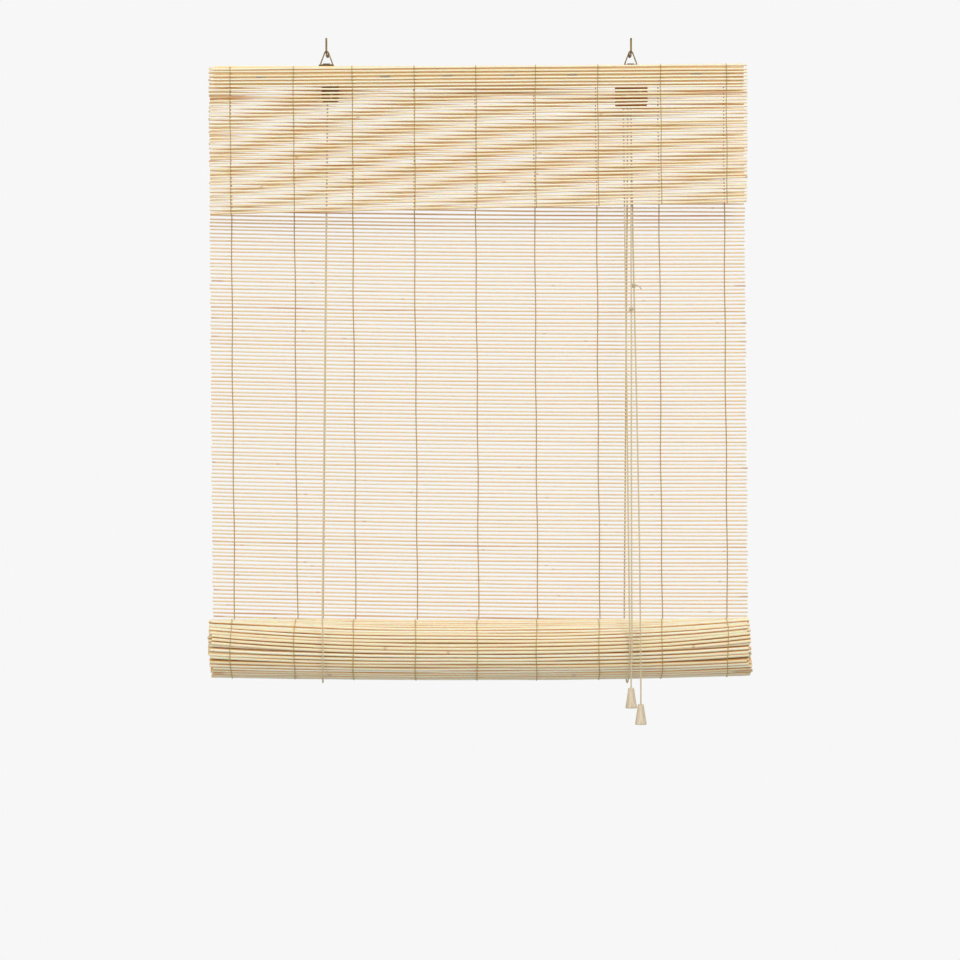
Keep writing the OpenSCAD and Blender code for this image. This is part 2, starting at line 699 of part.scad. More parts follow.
// Round cord swept down a route, swollen to a knot at one of its points
module hanging_cord(route, knot) {
    sides = 8;
    last = len(route) - 1;
    ring_r = [for (k = [0:last]) abs(k - knot) < 1 ? knot_r : cord_d / 2];
    points = [for (k = [0:last], i = [0:sides - 1])
        route[k] + ring_r[k] * [cos(360 * i / sides), sin(360 * i / sides), 0]];
    walls = [for (k = [0:last - 1], i = [0:sides - 1]) let (j = (i + 1) % sides)
        [k * sides + i, k * sides + j, (k + 1) * sides + j, (k + 1) * sides + i]];
    top = [for (i = [sides - 1:-1:0]) i];
    foot = [for (i = [0:sides - 1]) last * sides + i];
    polyhedron(points, concat([top], walls, [foot]));
}
module left_pull_cord() { color(ivory) hanging_cord(left_route, left_knot); }
module right_pull_cord() { color(ivory) hanging_cord(right_route, right_knot); }

// Turned wooden tassel on the end of a cord, hollow below for the end knot
module tassel(cord_end) {
    color(pale_wood) translate([cord_end.x, cord_end.y, cord_end.z + tassel_grip - tassel_h])
        rotate_extrude() polygon([
            [tassel_hollow_r, 0], [tassel_foot_r - 0.5, 0], [tassel_foot_r, 0.8],
            [tassel_top_r, tassel_h - 1], [tassel_top_r - 0.8, tassel_h], [tassel_bore_r, tassel_h],
            [tassel_bore_r, tassel_hollow], [tassel_hollow_r, tassel_hollow]
        ]);
}
module left_tassel() { tassel(left_route[len(left_route) - 1]); }
module right_tassel() { tassel(right_route[len(right_route) - 1]); }

module end_knot(cord_end) {
    color(ivory) translate(cord_end - [0, 0, end_knot_r + seat_gap]) sphere(r = end_knot_r);
}
module left_end_knot() { end_knot(left_route[len(left_route) - 1]); }
module right_end_knot() { end_knot(right_route[len(right_route) - 1]); }

headrail();
left_wall_hook();
right_wall_hook();
left_hanger_plate();
right_hanger_plate();
hanger_nails();
left_hanger_ring();
right_hanger_ring();
hanging_mat();
mat_threads();
mat_staples();
valance();
valance_threads();
valance_staples();
left_pulley_bracket();
left_pulley_axle();
left_pulley_wheel();
cord_lock_housing();
lock_axle();
lock_front_wheel();
lock_rear_wheel();
lock_pawl();
lock_pawl_pin();
bracket_screws();
left_cord_front_run();
left_cord_back_run();
left_cord_cross_run();
right_cord_front_run();
right_cord_back_run();
right_cord_over_wheel();
cord_anchor_staples();
left_cord_sling();
right_cord_sling();
mat_roll();
roll_threads();
bottom_bar();
left_pull_cord();
right_pull_cord();
left_tassel();
right_tassel();
left_end_knot();
right_end_knot();
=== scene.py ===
"""Looks of a bamboo roll up blind: splints, threads, cords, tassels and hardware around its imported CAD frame."""

from __future__ import annotations

import logging
import math
import random
from abc import ABC, abstractmethod
from dataclasses import asdict, dataclass, field
from enum import Enum
from typing import Mapping, Optional, Sequence, Union

import bpy
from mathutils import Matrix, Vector

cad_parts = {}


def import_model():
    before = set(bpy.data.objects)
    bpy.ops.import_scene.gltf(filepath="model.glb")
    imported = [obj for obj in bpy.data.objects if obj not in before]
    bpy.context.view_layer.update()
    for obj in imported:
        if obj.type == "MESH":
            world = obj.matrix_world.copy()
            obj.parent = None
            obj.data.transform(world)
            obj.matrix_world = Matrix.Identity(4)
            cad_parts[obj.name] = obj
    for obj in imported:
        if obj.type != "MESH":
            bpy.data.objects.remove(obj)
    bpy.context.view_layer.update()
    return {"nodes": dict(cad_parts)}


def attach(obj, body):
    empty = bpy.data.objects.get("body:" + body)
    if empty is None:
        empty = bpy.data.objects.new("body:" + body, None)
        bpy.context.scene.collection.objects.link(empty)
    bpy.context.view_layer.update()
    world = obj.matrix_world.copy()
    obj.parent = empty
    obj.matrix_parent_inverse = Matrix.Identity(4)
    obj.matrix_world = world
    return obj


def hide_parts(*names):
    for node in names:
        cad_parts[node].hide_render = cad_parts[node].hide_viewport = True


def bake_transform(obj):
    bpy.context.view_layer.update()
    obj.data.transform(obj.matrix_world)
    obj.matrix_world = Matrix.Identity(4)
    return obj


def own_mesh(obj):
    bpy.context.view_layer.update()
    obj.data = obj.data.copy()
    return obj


LOG = logging.getLogger("bamboo_blind")
MM = 0.001
TURN = 2 * math.pi
ROLL_LIFT = 380.0

Colour = tuple[float, float, float]
Chain = list[Vector]
Grain = tuple[float, float, float]
Numbers = Sequence[float]
Socket = bpy.types.NodeSocket
Piece = bpy.types.Object
Paint = bpy.types.Material


class Body(Enum):
    """CAD bodies that the pieces ride on."""

    RAIL = "headrail_set"
    SLINGS = "cord_slings"
    ROLL = "roll"
    LEFT_END = "left_tassel_end"
    RIGHT_END = "right_tassel_end"


class Slot(Enum):
    """Material slots of the record."""

    BAMBOO = "bamboo"
    PALE_WOOD = "pale_wood"
    TASSEL_WOOD = "tassel_wood"
    THREAD = "cotton_thread"
    CORD = "ivory_cord"
    BRONZE = "bronze_sheet"
    BRASS = "brass_wire"
    WHEEL = "wheel_brass"
    STEEL = "steel_wire"


def srgb(*levels: int) -> Colour:
    """A colour written in 0 to 255 display values, as linear values."""
    shares = [level / 255 for level in levels]
    return tuple(s / 12.92 if s <= 0.04045 else ((s + 0.055) / 1.055) ** 2.4 for s in shares)


def at(x: float, y: float, z: float) -> Vector:
    """A point given in millimetres, in metres."""
    return Vector((x, y, z)) * MM


def linked(name: str, data: bpy.types.ID) -> Piece:
    """Puts a mesh, lamp or camera into the scene.

    Args:
        name: the object's name.
        data: what the object holds.

    Returns:
        The object, at the origin.
    """
    made = bpy.data.objects.new(name, data)
    bpy.context.scene.collection.objects.link(made)
    return made


def follow(piece: Piece, body: Body, node: str = "") -> None:
    """Ties a piece to a body.

    Args:
        piece: the piece.
        body: the body that it rides on.
        node: the CAD node that it takes the place of, if there is one.
    """
    if node:
        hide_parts(node)
    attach(piece, body.value)


def gather(piece: Piece, fixed_z: float, foot_z: float) -> None:
    """Works out how much of a piece between a fixed height and a foot, in millimetres, would stay as the roll
    rises, and gives the piece its own mesh; the piece is not shortened.
    """
    keep = 1 - ROLL_LIFT / (fixed_z - foot_z)
    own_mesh(piece)


class Term:
    """A number socket that takes part in Python expressions."""

    def __init__(self, graph: Graph, socket: Socket) -> None:
        """Keeps the socket and the graph that gets the Math nodes."""
        self.graph = graph
        self.socket = socket

    def _maths(self, operation: str, *values: Plug) -> Term:
        """Adds one Math node and gives its result."""
        return self.graph.term("ShaderNodeMath", dict(enumerate(values)), {"operation": operation})

    def __add__(self, other: Plug) -> Term:
        """Sum."""
        return self._maths("ADD", self, other)

    __radd__ = __add__

    def __sub__(self, other: Plug) -> Term:
        """Difference."""
        return self._maths("SUBTRACT", self, other)

    def __rsub__(self, other: Plug) -> Term:
        """Difference from a plain number."""
        return self._maths("SUBTRACT", other, self)

    def __mul__(self, other: Plug) -> Term:
        """Product."""
        return self._maths("MULTIPLY", self, other)

    __rmul__ = __mul__

    def __truediv__(self, other: Plug) -> Term:
        """Quotient."""
        return self._maths("DIVIDE", self, other)

    def __abs__(self) -> Term:
        """Size without sign."""
        return self._maths("ABSOLUTE", self)

    def fraction(self) -> Term:
        """What is left over the whole number."""
        return self._maths("FRACT", self)

    def sine(self) -> Term:
        """Sine of the value in radians."""
        return self._maths("SINE", self)

    def step(self, low: float, high: float) -> Term:
        """Smooth step from 0 at low to 1 at high."""
        inputs = {"Value": self, "From Min": low, "From Max": high}
        return self.graph.term("ShaderNodeMapRange", inputs, {"interpolation_type": "SMOOTHSTEP"}, "Result")


Plug = Union[Term, Socket, float, int, bool, str, Numbers, bpy.types.ID]
Label = Union[str, int]
Inputs = Optional[Mapping[Label, Plug]]
Settings = Optional[Mapping[str, object]]


class Graph:
    """A shader or geometry tree that is filled node by node."""

    def __init__(self, tree: bpy.types.NodeTree) -> None:
        """Keeps the tree."""
        self.tree = tree

    def add(self, kind: str, inputs: Inputs = None, settings: Settings = None) -> bpy.types.Node:
        """Adds a node.

        Args:
            kind: the node's type.
            inputs: values or links of its sockets, by name or number.
            settings: its own settings, which are set first.

        Returns:
            The node.
        """
        node = self.tree.nodes.new(kind)
        for name, value in (settings or {}).items():
            setattr(node, name, value)
        for key, value in (inputs or {}).items():
            self.plug(node.inputs[key], value)
        return node

    def plug(self, socket: Socket, value: Plug) -> None:
        """Links a socket or sets its own value.

        Args:
            socket: the input that gets the value.
            value: a term or socket to link, or a plain value.
        """
        source = value.socket if isinstance(value, Term) else value
        if isinstance(source, Socket):
            self.tree.links.new(source, socket)
        else:
            socket.default_value = source

    def out(self, kind: str, inputs: Inputs = None, settings: Settings = None,
            output: Label = 0) -> Socket:
        """Adds a node and gives one of its outputs."""
        return self.add(kind, inputs, settings).outputs[output]

    def term(self, kind: str, inputs: Inputs = None, settings: Settings = None,
             output: Label = 0) -> Term:
        """Adds a node and gives one of its outputs as a term."""
        return Term(self, self.out(kind, inputs, settings, output))

    def vector(self, x: Plug, y: Plug, z: Plug) -> Socket:
        """A vector made of three numbers."""
        return self.out("ShaderNodeCombineXYZ", {"X": x, "Y": y, "Z": z})

    def parts(self, vector: Plug) -> tuple[Term, ...]:
        """The three numbers of a vector."""
        return tuple(Term(self, part) for part in self.add("ShaderNodeSeparateXYZ", {0: vector}).outputs)

    def vectors(self, operation: str, first: Plug, second: Plug) -> Socket:
        """Adds, subtracts or multiplies two vectors."""
        return self.out("ShaderNodeVectorMath", {0: first, 1: second}, {"operation": operation})

    def noise(self, vector: Plug, scale: float = 1.0, detail: float = 2.0) -> Term:
        """Noise from 0 to 1 at a vector."""
        return self.term("ShaderNodeTexNoise", {"Vector": vector, "Scale": scale, "Detail": detail}, None, "Fac")


class Finish:
    """A procedural material with a Principled shader."""

    def __init__(self, name: str) -> None:
        """Starts an empty material.

        Args:
            name: the material's name.
        """
        self.material = bpy.data.materials.new(name)
        self.material.use_nodes = True
        self.graph = Graph(self.material.node_tree)
        self.graph.tree.nodes.clear()
        self.shader = self.graph.add("ShaderNodeBsdfPrincipled")
        self.graph.add("ShaderNodeOutputMaterial", {"Surface": self.shader.outputs["BSDF"]})

    def place(self) -> Socket:
        """Object coordinates, in metres."""
        return self.graph.out("ShaderNodeTexCoord", output="Object")

    def stretched(self, vector: Plug, scale: Numbers) -> Socket:
        """A vector scaled axis by axis."""
        return self.graph.out("ShaderNodeMapping", {"Vector": vector, "Scale": scale})

    def attribute(self, name: str) -> Term:
        """A number that the mesh carries."""
        return self.graph.term("ShaderNodeAttribute", None, {"attribute_name": name}, "Fac")

    def mix(self, factor: Plug, first: Plug, second: Plug) -> Socket:
        """Colour between two colours.

        Args:
            factor: 0 gives the first, 1 the second.
            first: a colour or a colour socket.
            second: a colour or a colour socket.

        Returns:
            The mixed colour.
        """
        def full(colour: Plug) -> Plug:
            """A colour with its alpha."""
            return (*colour, 1.0) if isinstance(colour, tuple) else colour

        inputs = {0: factor, 6: full(first), 7: full(second)}
        return self.graph.out("ShaderNodeMix", inputs, {"data_type": "RGBA"}, 2)

    def bump(self, height: Term, distance: float, strength: float) -> None:
        """Feeds a height to the shader's normal."""
        inputs = {"Height": height, "Distance": distance, "Strength": strength}
        self.feed({"Normal": self.graph.out("ShaderNodeBump", inputs)})

    def feed(self, values: Mapping[str, Plug]) -> None:
        """Sets or links sockets of the shader, by name."""
        for name, value in values.items():
            self.graph.plug(self.shader.inputs[name], value)


@dataclass(frozen=True)
class BambooLook:
    """Colours of split bamboo and the shares in which they show."""

    name: str
    cream: Colour = srgb(248, 242, 218)
    straw: Colour = srgb(236, 215, 168)
    # edge: brown of the split edges, made orange so that it also paints the glow of back-lit splints in the gaps;
    # the fibres use it too
    edge: Colour = srgb(230, 160, 60)
    # aged: painted shade, a darker straw for splints that hang in shade
    aged: Colour = srgb(219, 200, 156)
    burnt: Colour = srgb(168, 104, 50)
    fibre_grain: Grain = (30, 40, 2600)
    cloud_grain: Grain = (14, 60, 900)
    joint_spacing: float = 0.27
    joint_half: float = 0.012
    tip_start: float = 0.272
    tip_reach: float = 0.008
    edge_share: float = 0.9
    burnt_share: float = 0.7
    tip_share: float = 0.45
    joint_share: float = 0.4
    fibre_share: float = 0.2
    specular: float = 0.35
    glow: float = 0.45
    glow_radius: Colour = (1.0, 0.45, 0.18)
    glow_depth: float = 0.0035
    relief: float = 0.00012

    def make(self) -> Paint:
        """Builds the material: tone by splint, brown split edges that are partly a painted orange glow, painted
        shade on the splints that carry it, growth joints and fibres along the splint.

        Returns:
            The material.
        """
        finish = Finish(self.name)
        graph = finish.graph
        tone, shift, rim, age = (finish.attribute(name) for name in ("tone", "shift", "rim", "age"))
        x, y, z = graph.parts(finish.place())

        def grain(along: float, apart: float, across: float) -> Socket:
            """A place drawn out along the splint and apart from that of other splints."""
            return graph.vector(x * along + shift * apart, y * across, z * across)

        fibre = graph.noise(grain(*self.fibre_grain), 1.0, 3.0)
        cloud = graph.noise(grain(*self.cloud_grain), 0.6, 2.0)
        scorch = tone.step(0.955, 1.0) * cloud.step(0.45, 0.65)
        # split edges: partly real brown edges, partly a painted orange glow of light through back-lit splints;
        # splints with painted shade get more of it
        split = (rim + age * 0.35).step(0.6, 0.95) * (cloud * 0.6 + 0.6)
        dark = rim.step(0.55, 0.95) * cloud.step(0.5, 0.62) * tone.step(0.72, 0.9)
        tip = (abs(x) - tone * 0.02).step(self.tip_start, self.tip_start + self.tip_reach) * shift.step(0.94, 0.96)
        along = ((x + shift * 3.7) / self.joint_spacing).fraction()
        joint = (1 - abs(along - 0.5).step(0.0, self.joint_half)) * shift.step(0.8, 0.82)
        # the first layer is painted shade; the edge layer is partly a painted glow
        layers = (
            (age, self.aged),
            (scorch * self.burnt_share, self.burnt),
            (split * self.edge_share, self.edge),
            (dark * self.burnt_share, self.burnt),
            (tip * self.tip_share, self.burnt),
            (joint * self.joint_share, self.burnt),
            (fibre.step(0.55, 0.8) * self.fibre_share, self.edge),
        )
        colour = finish.mix(tone * 0.7 + (cloud - 0.5) * 0.5, self.cream, self.straw)
        for share, layer in layers:
            colour = finish.mix(share, colour, layer)
        finish.feed({
            "Base Color": colour, "Roughness": 0.46 + fibre * 0.2, "Specular IOR Level": self.specular,
            "Subsurface Weight": self.glow, "Subsurface Radius": self.glow_radius,
            "Subsurface Scale": self.glow_depth,
        })
        finish.bump(fibre + joint * 1.5, self.relief, 0.6)
        return finish.material


@dataclass(frozen=True)
class TwistLook:
    """Colours and lay of a thread or a braided cord."""

    name: str
    light: Colour
    dark: Colour
    lay: float
    strands: float
    depth: float
    # crossed: painted shade for the thread in the gaps between splints
    crossed: Colour = srgb(160, 116, 60)
    cross_share: float = 0.0
    fuzz_scale: float = 900
    sheen: float = 0.25

    def make(self) -> Paint:
        """Builds the material: strands that cross along the cord, on its own length and girth, with painted shade
        where they cross in the gaps between splints.

        Returns:
            The material.
        """
        finish = Finish(self.name)
        along = finish.attribute("along") * (TURN / self.lay)
        around = finish.attribute("around") * (TURN * self.strands)
        weave = (along + around).sine() * (along - around).sine() * 0.5 + 0.5
        fuzz = finish.graph.noise(finish.stretched(finish.place(), (self.fuzz_scale,) * 3), 1.0, 3.0)
        colour = finish.mix(weave * 0.7 + (fuzz - 0.5) * 0.5, self.dark, self.light)
        # painted shade where the thread swells in the gaps between splints
        full = finish.attribute("girth").step(1.02, 1.22)
        colour = finish.mix(full * self.cross_share, colour, self.crossed)
        finish.feed({"Base Color": colour, "Roughness": 0.78 + fuzz * 0.18, "Sheen Weight": self.sheen})
        finish.bump(weave + fuzz * 0.4, self.depth, 0.8)
        return finish.material


@dataclass(frozen=True)
class WoodLook:
    """Colours and grain of plain wood."""

    name: str
    light: Colour
    dark: Colour
    grain: Grain
    rough: float
    bands: float = 9.0
    relief: float = 0.00015

    def make(self) -> Paint:
        """Builds the material: growth lines and fine fibres along the piece.

        Returns:
            The material.
        """
        finish = Finish(self.name)
        graph = finish.graph
        place = finish.place()
        lines = graph.noise(finish.stretched(place, self.grain), 1.0, 3.0)
        fine = graph.noise(finish.stretched(place, tuple(6 * g for g in self.grain)), 1.0, 4.0)
        band = (lines * self.bands).fraction() - 0.5
        colour = finish.mix(abs(band) * 0.9 + (fine - 0.5) * 0.5, self.light, self.dark)
        finish.feed({"Base Color": colour, "Roughness": self.rough + fine * 0.18})
        finish.bump(fine, self.relief, 0.5)
        return finish.material


@dataclass(frozen=True)
class MetalLook:
    """Colour and surface of a metal piece."""

    name: str
    colour: Colour
    stain: Colour
    metallic: float
    rough: float
    patch_scale: float = 260.0
    scratch_grain: Grain = (300, 2400, 2400)
    relief: float = 0.00006

    def make(self) -> Paint:
        """Builds the material: dull patches, fine scratches and uneven gloss.

        Returns:
            The material.
        """
        finish = Finish(self.name)
        graph = finish.graph
        place = finish.place()
        patch = graph.noise(place, self.patch_scale, 3.0)
        scratch = graph.noise(finish.stretched(place, self.scratch_grain), 1.0, 2.0)
        finish.feed({
            "Base Color": finish.mix(patch.step(0.4, 0.75) * 0.8, self.colour, self.stain),
            "Roughness": self.rough + patch * 0.2 + (scratch - 0.5) * 0.12,
            "Metallic": self.metallic,
        })
        finish.bump(scratch + patch * 0.5, self.relief, 0.5)
        return finish.material


@dataclass
class Finishes:
    """All materials of the blind, by slot, and a lighter copy of the bronze for the cord lock that paints light
    into the shade behind the valance.
    """

    by_slot: dict[Slot, Paint] = field(init=False)
    lock: Paint = field(init=False)

    def __post_init__(self) -> None:
        """Makes each material once."""
        looks = {
            Slot.BAMBOO: BambooLook("split_bamboo"),
            Slot.PALE_WOOD: WoodLook("sawn_wood", srgb(254, 234, 182), srgb(252, 210, 144), (8, 260, 260), 0.6),
            Slot.TASSEL_WOOD: WoodLook(
                "turned_wood", srgb(226, 210, 182), srgb(176, 154, 118), (240, 240, 12), 0.42, bands=3.0),
            # the thread gets painted shade in the gaps between splints
            Slot.THREAD: TwistLook(
                "cotton_thread", srgb(226, 198, 130), srgb(186, 146, 76), 0.0016, 1, 0.0001, cross_share=0.6),
            Slot.CORD: TwistLook("braided_cord", srgb(238, 224, 192), srgb(196, 176, 134), 0.0034, 2, 0.00018),
            Slot.BRONZE: MetalLook("bronze_lacquer", srgb(110, 84, 52), srgb(78, 56, 34), 0.55, 0.38),
            Slot.BRASS: MetalLook("aged_brass", srgb(140, 116, 72), srgb(88, 68, 40), 1.0, 0.3),
            Slot.WHEEL: MetalLook("wheel_brass", srgb(176, 146, 88), srgb(130, 100, 54), 1.0, 0.3),
            Slot.STEEL: MetalLook("zinc_steel", srgb(190, 188, 180), srgb(150, 146, 138), 1.0, 0.32),
        }
        self.by_slot = {slot: look.make() for slot, look in looks.items()}
        # painted light: a lighter, less metallic copy of the bronze for the cord lock, which sits in shade behind
        # the valance
        self.lock = MetalLook("lock_lacquer", srgb(178, 118, 62), srgb(142, 88, 44), 0.25, 0.4).make()

    def __getitem__(self, slot: Slot) -> Paint:
        """The material of a slot."""
        return self.by_slot[slot]


class NodeTool:
    """A Geometry Nodes tree that makes one kind of piece."""

    def __init__(self, name: str, sizes: Mapping[str, str]) -> None:
        """Starts a tree.

        Args:
            name: the tree's name.
            sizes: named inputs and their socket types.
        """
        self.graph = Graph(bpy.data.node_groups.new(name, "GeometryNodeTree"))
        face = self.graph.tree.interface
        labels = {"Geometry": "NodeSocketGeometry", **sizes, "Material": "NodeSocketMaterial"}
        for label, kind in labels.items():
            face.new_socket(label, in_out="INPUT", socket_type=kind)
        face.new_socket("Geometry", in_out="OUTPUT", socket_type="NodeSocketGeometry")
        self.start = self.graph.add("NodeGroupInput")

    def size(self, label: str) -> Term:
        """A named input as a term."""
        return Term(self.graph, self.start.outputs[label])

    def store(self, geometry: Plug, name: str, value: Plug) -> Socket:
        """Keeps a number on the geometry's points under a name."""
        inputs = {"Geometry": geometry, "Name": name, "Value": value}
        return self.graph.out("GeometryNodeStoreNamedAttribute", inputs, {"data_type": "FLOAT", "domain": "POINT"})

    def named(self, name: str) -> Term:
        """A number that the geometry's points carry."""
        return self.graph.term("GeometryNodeInputNamedAttribute", {"Name": name}, {"data_type": "FLOAT"})

    def close(self, geometry: Plug) -> None:
        """Ends the tree with smooth shading, Realize Instances and Set Material.

        Args:
            geometry: what the tree has made.
        """
        for kind in ("GeometryNodeSetShadeSmooth", "GeometryNodeRealizeInstances"):
            geometry = self.graph.out(kind, {"Geometry": geometry})
        painted = {"Geometry": geometry, "Material": self.size("Material")}
        self.graph.add("NodeGroupOutput", {"Geometry": self.graph.out("GeometryNodeSetMaterial", painted)})

    def run(self, source: Piece, sizes: Mapping[str, object]) -> Piece:
        """Turns a source mesh into a plain finished mesh.

        Args:
            source: the object whose mesh goes into the tree. It is used up.
            sizes: values of the named inputs.

        Returns:
            A new object at the origin.
        """
        modifier = source.modifiers.new("made", "NODES")
        modifier.node_group = self.graph.tree
        for item in self.graph.tree.interface.items_tree:
            if item.in_out == "INPUT" and item.name in sizes:
                modifier[item.identifier] = sizes[item.name]
        bpy.context.view_layer.update()
        graph = bpy.context.evaluated_depsgraph_get()
        mesh = bpy.data.meshes.new_from_object(source.evaluated_get(graph), depsgraph=graph)
        name, old = source.name, source.data
        source.modifiers.remove(modifier)
        bpy.data.objects.remove(source)
        bpy.data.meshes.remove(old)
        mesh.name = name
        return linked(name, mesh)


class SplintTool(NodeTool):
    """Lays splints along X on points, uneven as split bamboo is."""

    SIDES = 8
    FAN_REACH = 0.035
    NUMBERS = ("Length", "Radius", "Ragged", "Sway", "Waves", "Bow", "Lean", "Barrel", "Fan", "Age")

    def __init__(self) -> None:
        """Builds the tree."""
        sizes = dict.fromkeys(self.NUMBERS, "NodeSocketFloat")
        sizes |= {"Centre": "NodeSocketVector", "Steps": "NodeSocketInt", "Seed": "NodeSocketInt"}
        super().__init__("splints", sizes)
        graph = self.graph
        points = self.start.outputs["Geometry"]
        for offset, name in enumerate(("tone", "shift", "reach")):
            points = self.store(points, name, self._draw(offset))
        # the share of painted shade that every splint of the set gets
        points = self.store(points, "age", self.size("Age"))
        slide = graph.vector((self.named("shift") - 0.5) * self.size("Ragged"), 0.0, 0.0)
        points = graph.out("GeometryNodeSetPosition", {"Geometry": points, "Offset": slide})
        line = graph.out("GeometryNodeCurvePrimitiveLine", {"Start": (-0.5, 0, 0), "End": (0.5, 0, 0)})
        line = graph.out("GeometryNodeResampleCurve", {"Curve": line, "Count": self.size("Steps")})
        length = self.size("Length") - self.named("reach") * self.size("Ragged")
        turn = graph.out("FunctionNodeEulerToRotation", {0: graph.vector(0.0, 0 - self.named("slope"), 0.0)})
        inputs = {"Points": points, "Instance": line, "Rotation": turn, "Scale": graph.vector(length, 1, 1)}
        laid = graph.out("GeometryNodeInstanceOnPoints", inputs)
        laid = graph.out("GeometryNodeRealizeInstances", {"Geometry": laid})
        laid = graph.out("GeometryNodeSetPosition", {"Geometry": laid, "Position": self._place()})
        laid = graph.out("GeometryNodeSetCurveTilt", {"Curve": laid, "Tilt": self.named("turn")})
        x, _, _ = graph.parts(graph.out("GeometryNodeInputPosition"))
        uneven = graph.noise(graph.vector(x * 11, self.named("shift") * 71, 3.0)) - 0.5
        girth = self.size("Radius") * self.named("stout") * (1 + uneven * 0.3 + (self.named("tone") - 0.5) * 0.12)
        inputs = {"Curve": laid, "Profile Curve": self._profile(), "Scale": girth, "Fill Caps": True}
        self.close(graph.out("GeometryNodeCurveToMesh", inputs))

    def _draw(self, offset: int) -> Term:
        """One random number from 0 to 1 for each splint."""
        inputs = {"Seed": self.size("Seed") + offset}
        return self.graph.term("FunctionNodeRandomValue", inputs, {"data_type": "FLOAT"}, 1)

    def _place(self) -> Socket:
        """Where a splint's points go: swayed, bowed, drawn in and fanned towards the ends.

        Returns:
            The place of each point.
        """
        graph = self.graph
        x, y, z = graph.parts(graph.out("GeometryNodeInputPosition"))
        shift, centre = self.named("shift"), self.size("Centre")
        share = x * 2 / self.size("Length")
        square = share * share
        waves = x * self.size("Waves")
        out = graph.noise(graph.vector(waves, shift * 97, 0.0), 1.0, 1.0) - 0.5
        rise = graph.noise(graph.vector(waves, shift * 97, 40.0), 1.0, 1.0) - 0.5
        lie = graph.vector(x, y + out * self.size("Sway") * 1.2, z + rise * self.size("Sway") * 2)
        pull = 1 - self.size("Barrel") * square
        arm = graph.vectors("MULTIPLY", graph.vectors("SUBTRACT", lie, centre), graph.vector(1, pull, pull))
        _, _, high = graph.parts(arm)
        swing = 0 - self.size("Fan") * square * abs(share) * (shift * 0.5 + 0.75) * (high / self.FAN_REACH + 1)
        arm = graph.out("ShaderNodeVectorRotate", {"Vector": arm, "Angle": swing}, {"rotation_type": "X_AXIS"})
        bow = graph.vector(0.0, 0.0, self.size("Bow") * square * (share * self.size("Lean") + 1))
        return graph.vectors("ADD", graph.vectors("ADD", arm, centre), bow)

    def _profile(self) -> Socket:
        """The splint's section, which knows how near a point is to the split edges.

        Returns:
            The section's curve.
        """
        circle = self.graph.out("GeometryNodeCurvePrimitiveCircle", {"Resolution": self.SIDES, "Radius": 1.0})
        _, y, _ = self.graph.parts(self.graph.out("GeometryNodeInputPosition"))
        return self.store(circle, "rim", abs(y))


class CordTool(NodeTool):
    """Sweeps a round section along chains of points."""

    def __init__(self) -> None:
        """Builds the tree."""
        super().__init__("cords", {"Radius": "NodeSocketFloat", "Sides": "NodeSocketInt"})
        graph = self.graph
        curve = graph.out("GeometryNodeMeshToCurve", {"Mesh": self.start.outputs["Geometry"]})
        curve = self.store(curve, "along", graph.out("GeometryNodeSplineParameter", output="Length"))
        sides = self.size("Sides")
        circle = graph.out("GeometryNodeCurvePrimitiveCircle", {"Resolution": sides, "Radius": 1.0})
        circle = self.store(circle, "around", graph.term("GeometryNodeInputIndex") / sides)
        girth = self.size("Radius") * self.named("girth")
        inputs = {"Curve": curve, "Profile Curve": circle, "Scale": girth, "Fill Caps": True}
        self.close(graph.out("GeometryNodeCurveToMesh", inputs))


def source_mesh(name: str, places: Sequence[Vector], edges: Sequence[tuple[int, int]],
                numbers: Mapping[str, Numbers]) -> Piece:
    """Makes the points and edges that a tool works on.

    Args:
        name: the object's name.
        places: the points.
        edges: pairs of points that are joined.
        numbers: values by attribute name, one for each point.

    Returns:
        The object.
    """
    mesh = bpy.data.meshes.new(name)
    mesh.from_pydata(places, edges, [])
    for label, values in numbers.items():
        mesh.attributes.new(label, "FLOAT", "POINT").data.foreach_set("value", list(values))
    return linked(name, mesh)


def arc(centre: tuple[float, float], radius: float, start: float, end: float, steps: int) -> Chain:
    """Points of an arc in the plane of Y and Z, angles in degrees from +Y towards +Z, sizes in millimetres."""
    turns = [math.radians(start + (end - start) * k / steps) for k in range(steps + 1)]
    return [at(0, centre[0] + radius * math.cos(t), centre[1] + radius * math.sin(t)) for t in turns]


def smooth(route: Sequence[Vector], step: float) -> Chain:
    """Draws a smooth curve through a route's points.

    Args:
        route: the points.
        step: spacing of the new points, in metres.

    Returns:
        The curve's points, with the route's own ends.
    """
    made: Chain = []
    last = len(route) - 1
    for k in range(last):
        p0, p1, p2, p3 = route[max(k - 1, 0)], route[k], route[k + 1], route[min(k + 2, last)]
        count = max(1, round((p2 - p1).length / step))
        for i in range(count):
            t = i / count
            made.append(0.5 * (2 * p1 + (p2 - p0) * t + (2 * p0 - 5 * p1 + 4 * p2 - p3) * t * t
                               + (3 * p1 - p0 - 3 * p2 + p3) * t * t * t))
    made.append(route[last].copy())
    return made


def cut(chain: Chain, height: float) -> tuple[Chain, Chain]:
    """Cuts a chain that runs downwards.

    Args:
        chain: the chain.
        height: where it is cut, in millimetres.

    Returns:
        The upper and the lower stretch.
    """
    level = height * MM
    for k in range(len(chain) - 1):
        high, low = chain[k], chain[k + 1]
        if high.z >= level > low.z:
            middle = high.lerp(low, (high.z - level) / (high.z - low.z))
            return chain[:k + 1] + [middle], [middle.copy()] + chain[k + 1:]
    raise ValueError(f"the chain does not pass {height}")


def chain_length(chain: Chain) -> float:
    """Length along a chain, in metres."""
    return sum((b - a).length for a, b in zip(chain, chain[1:]))


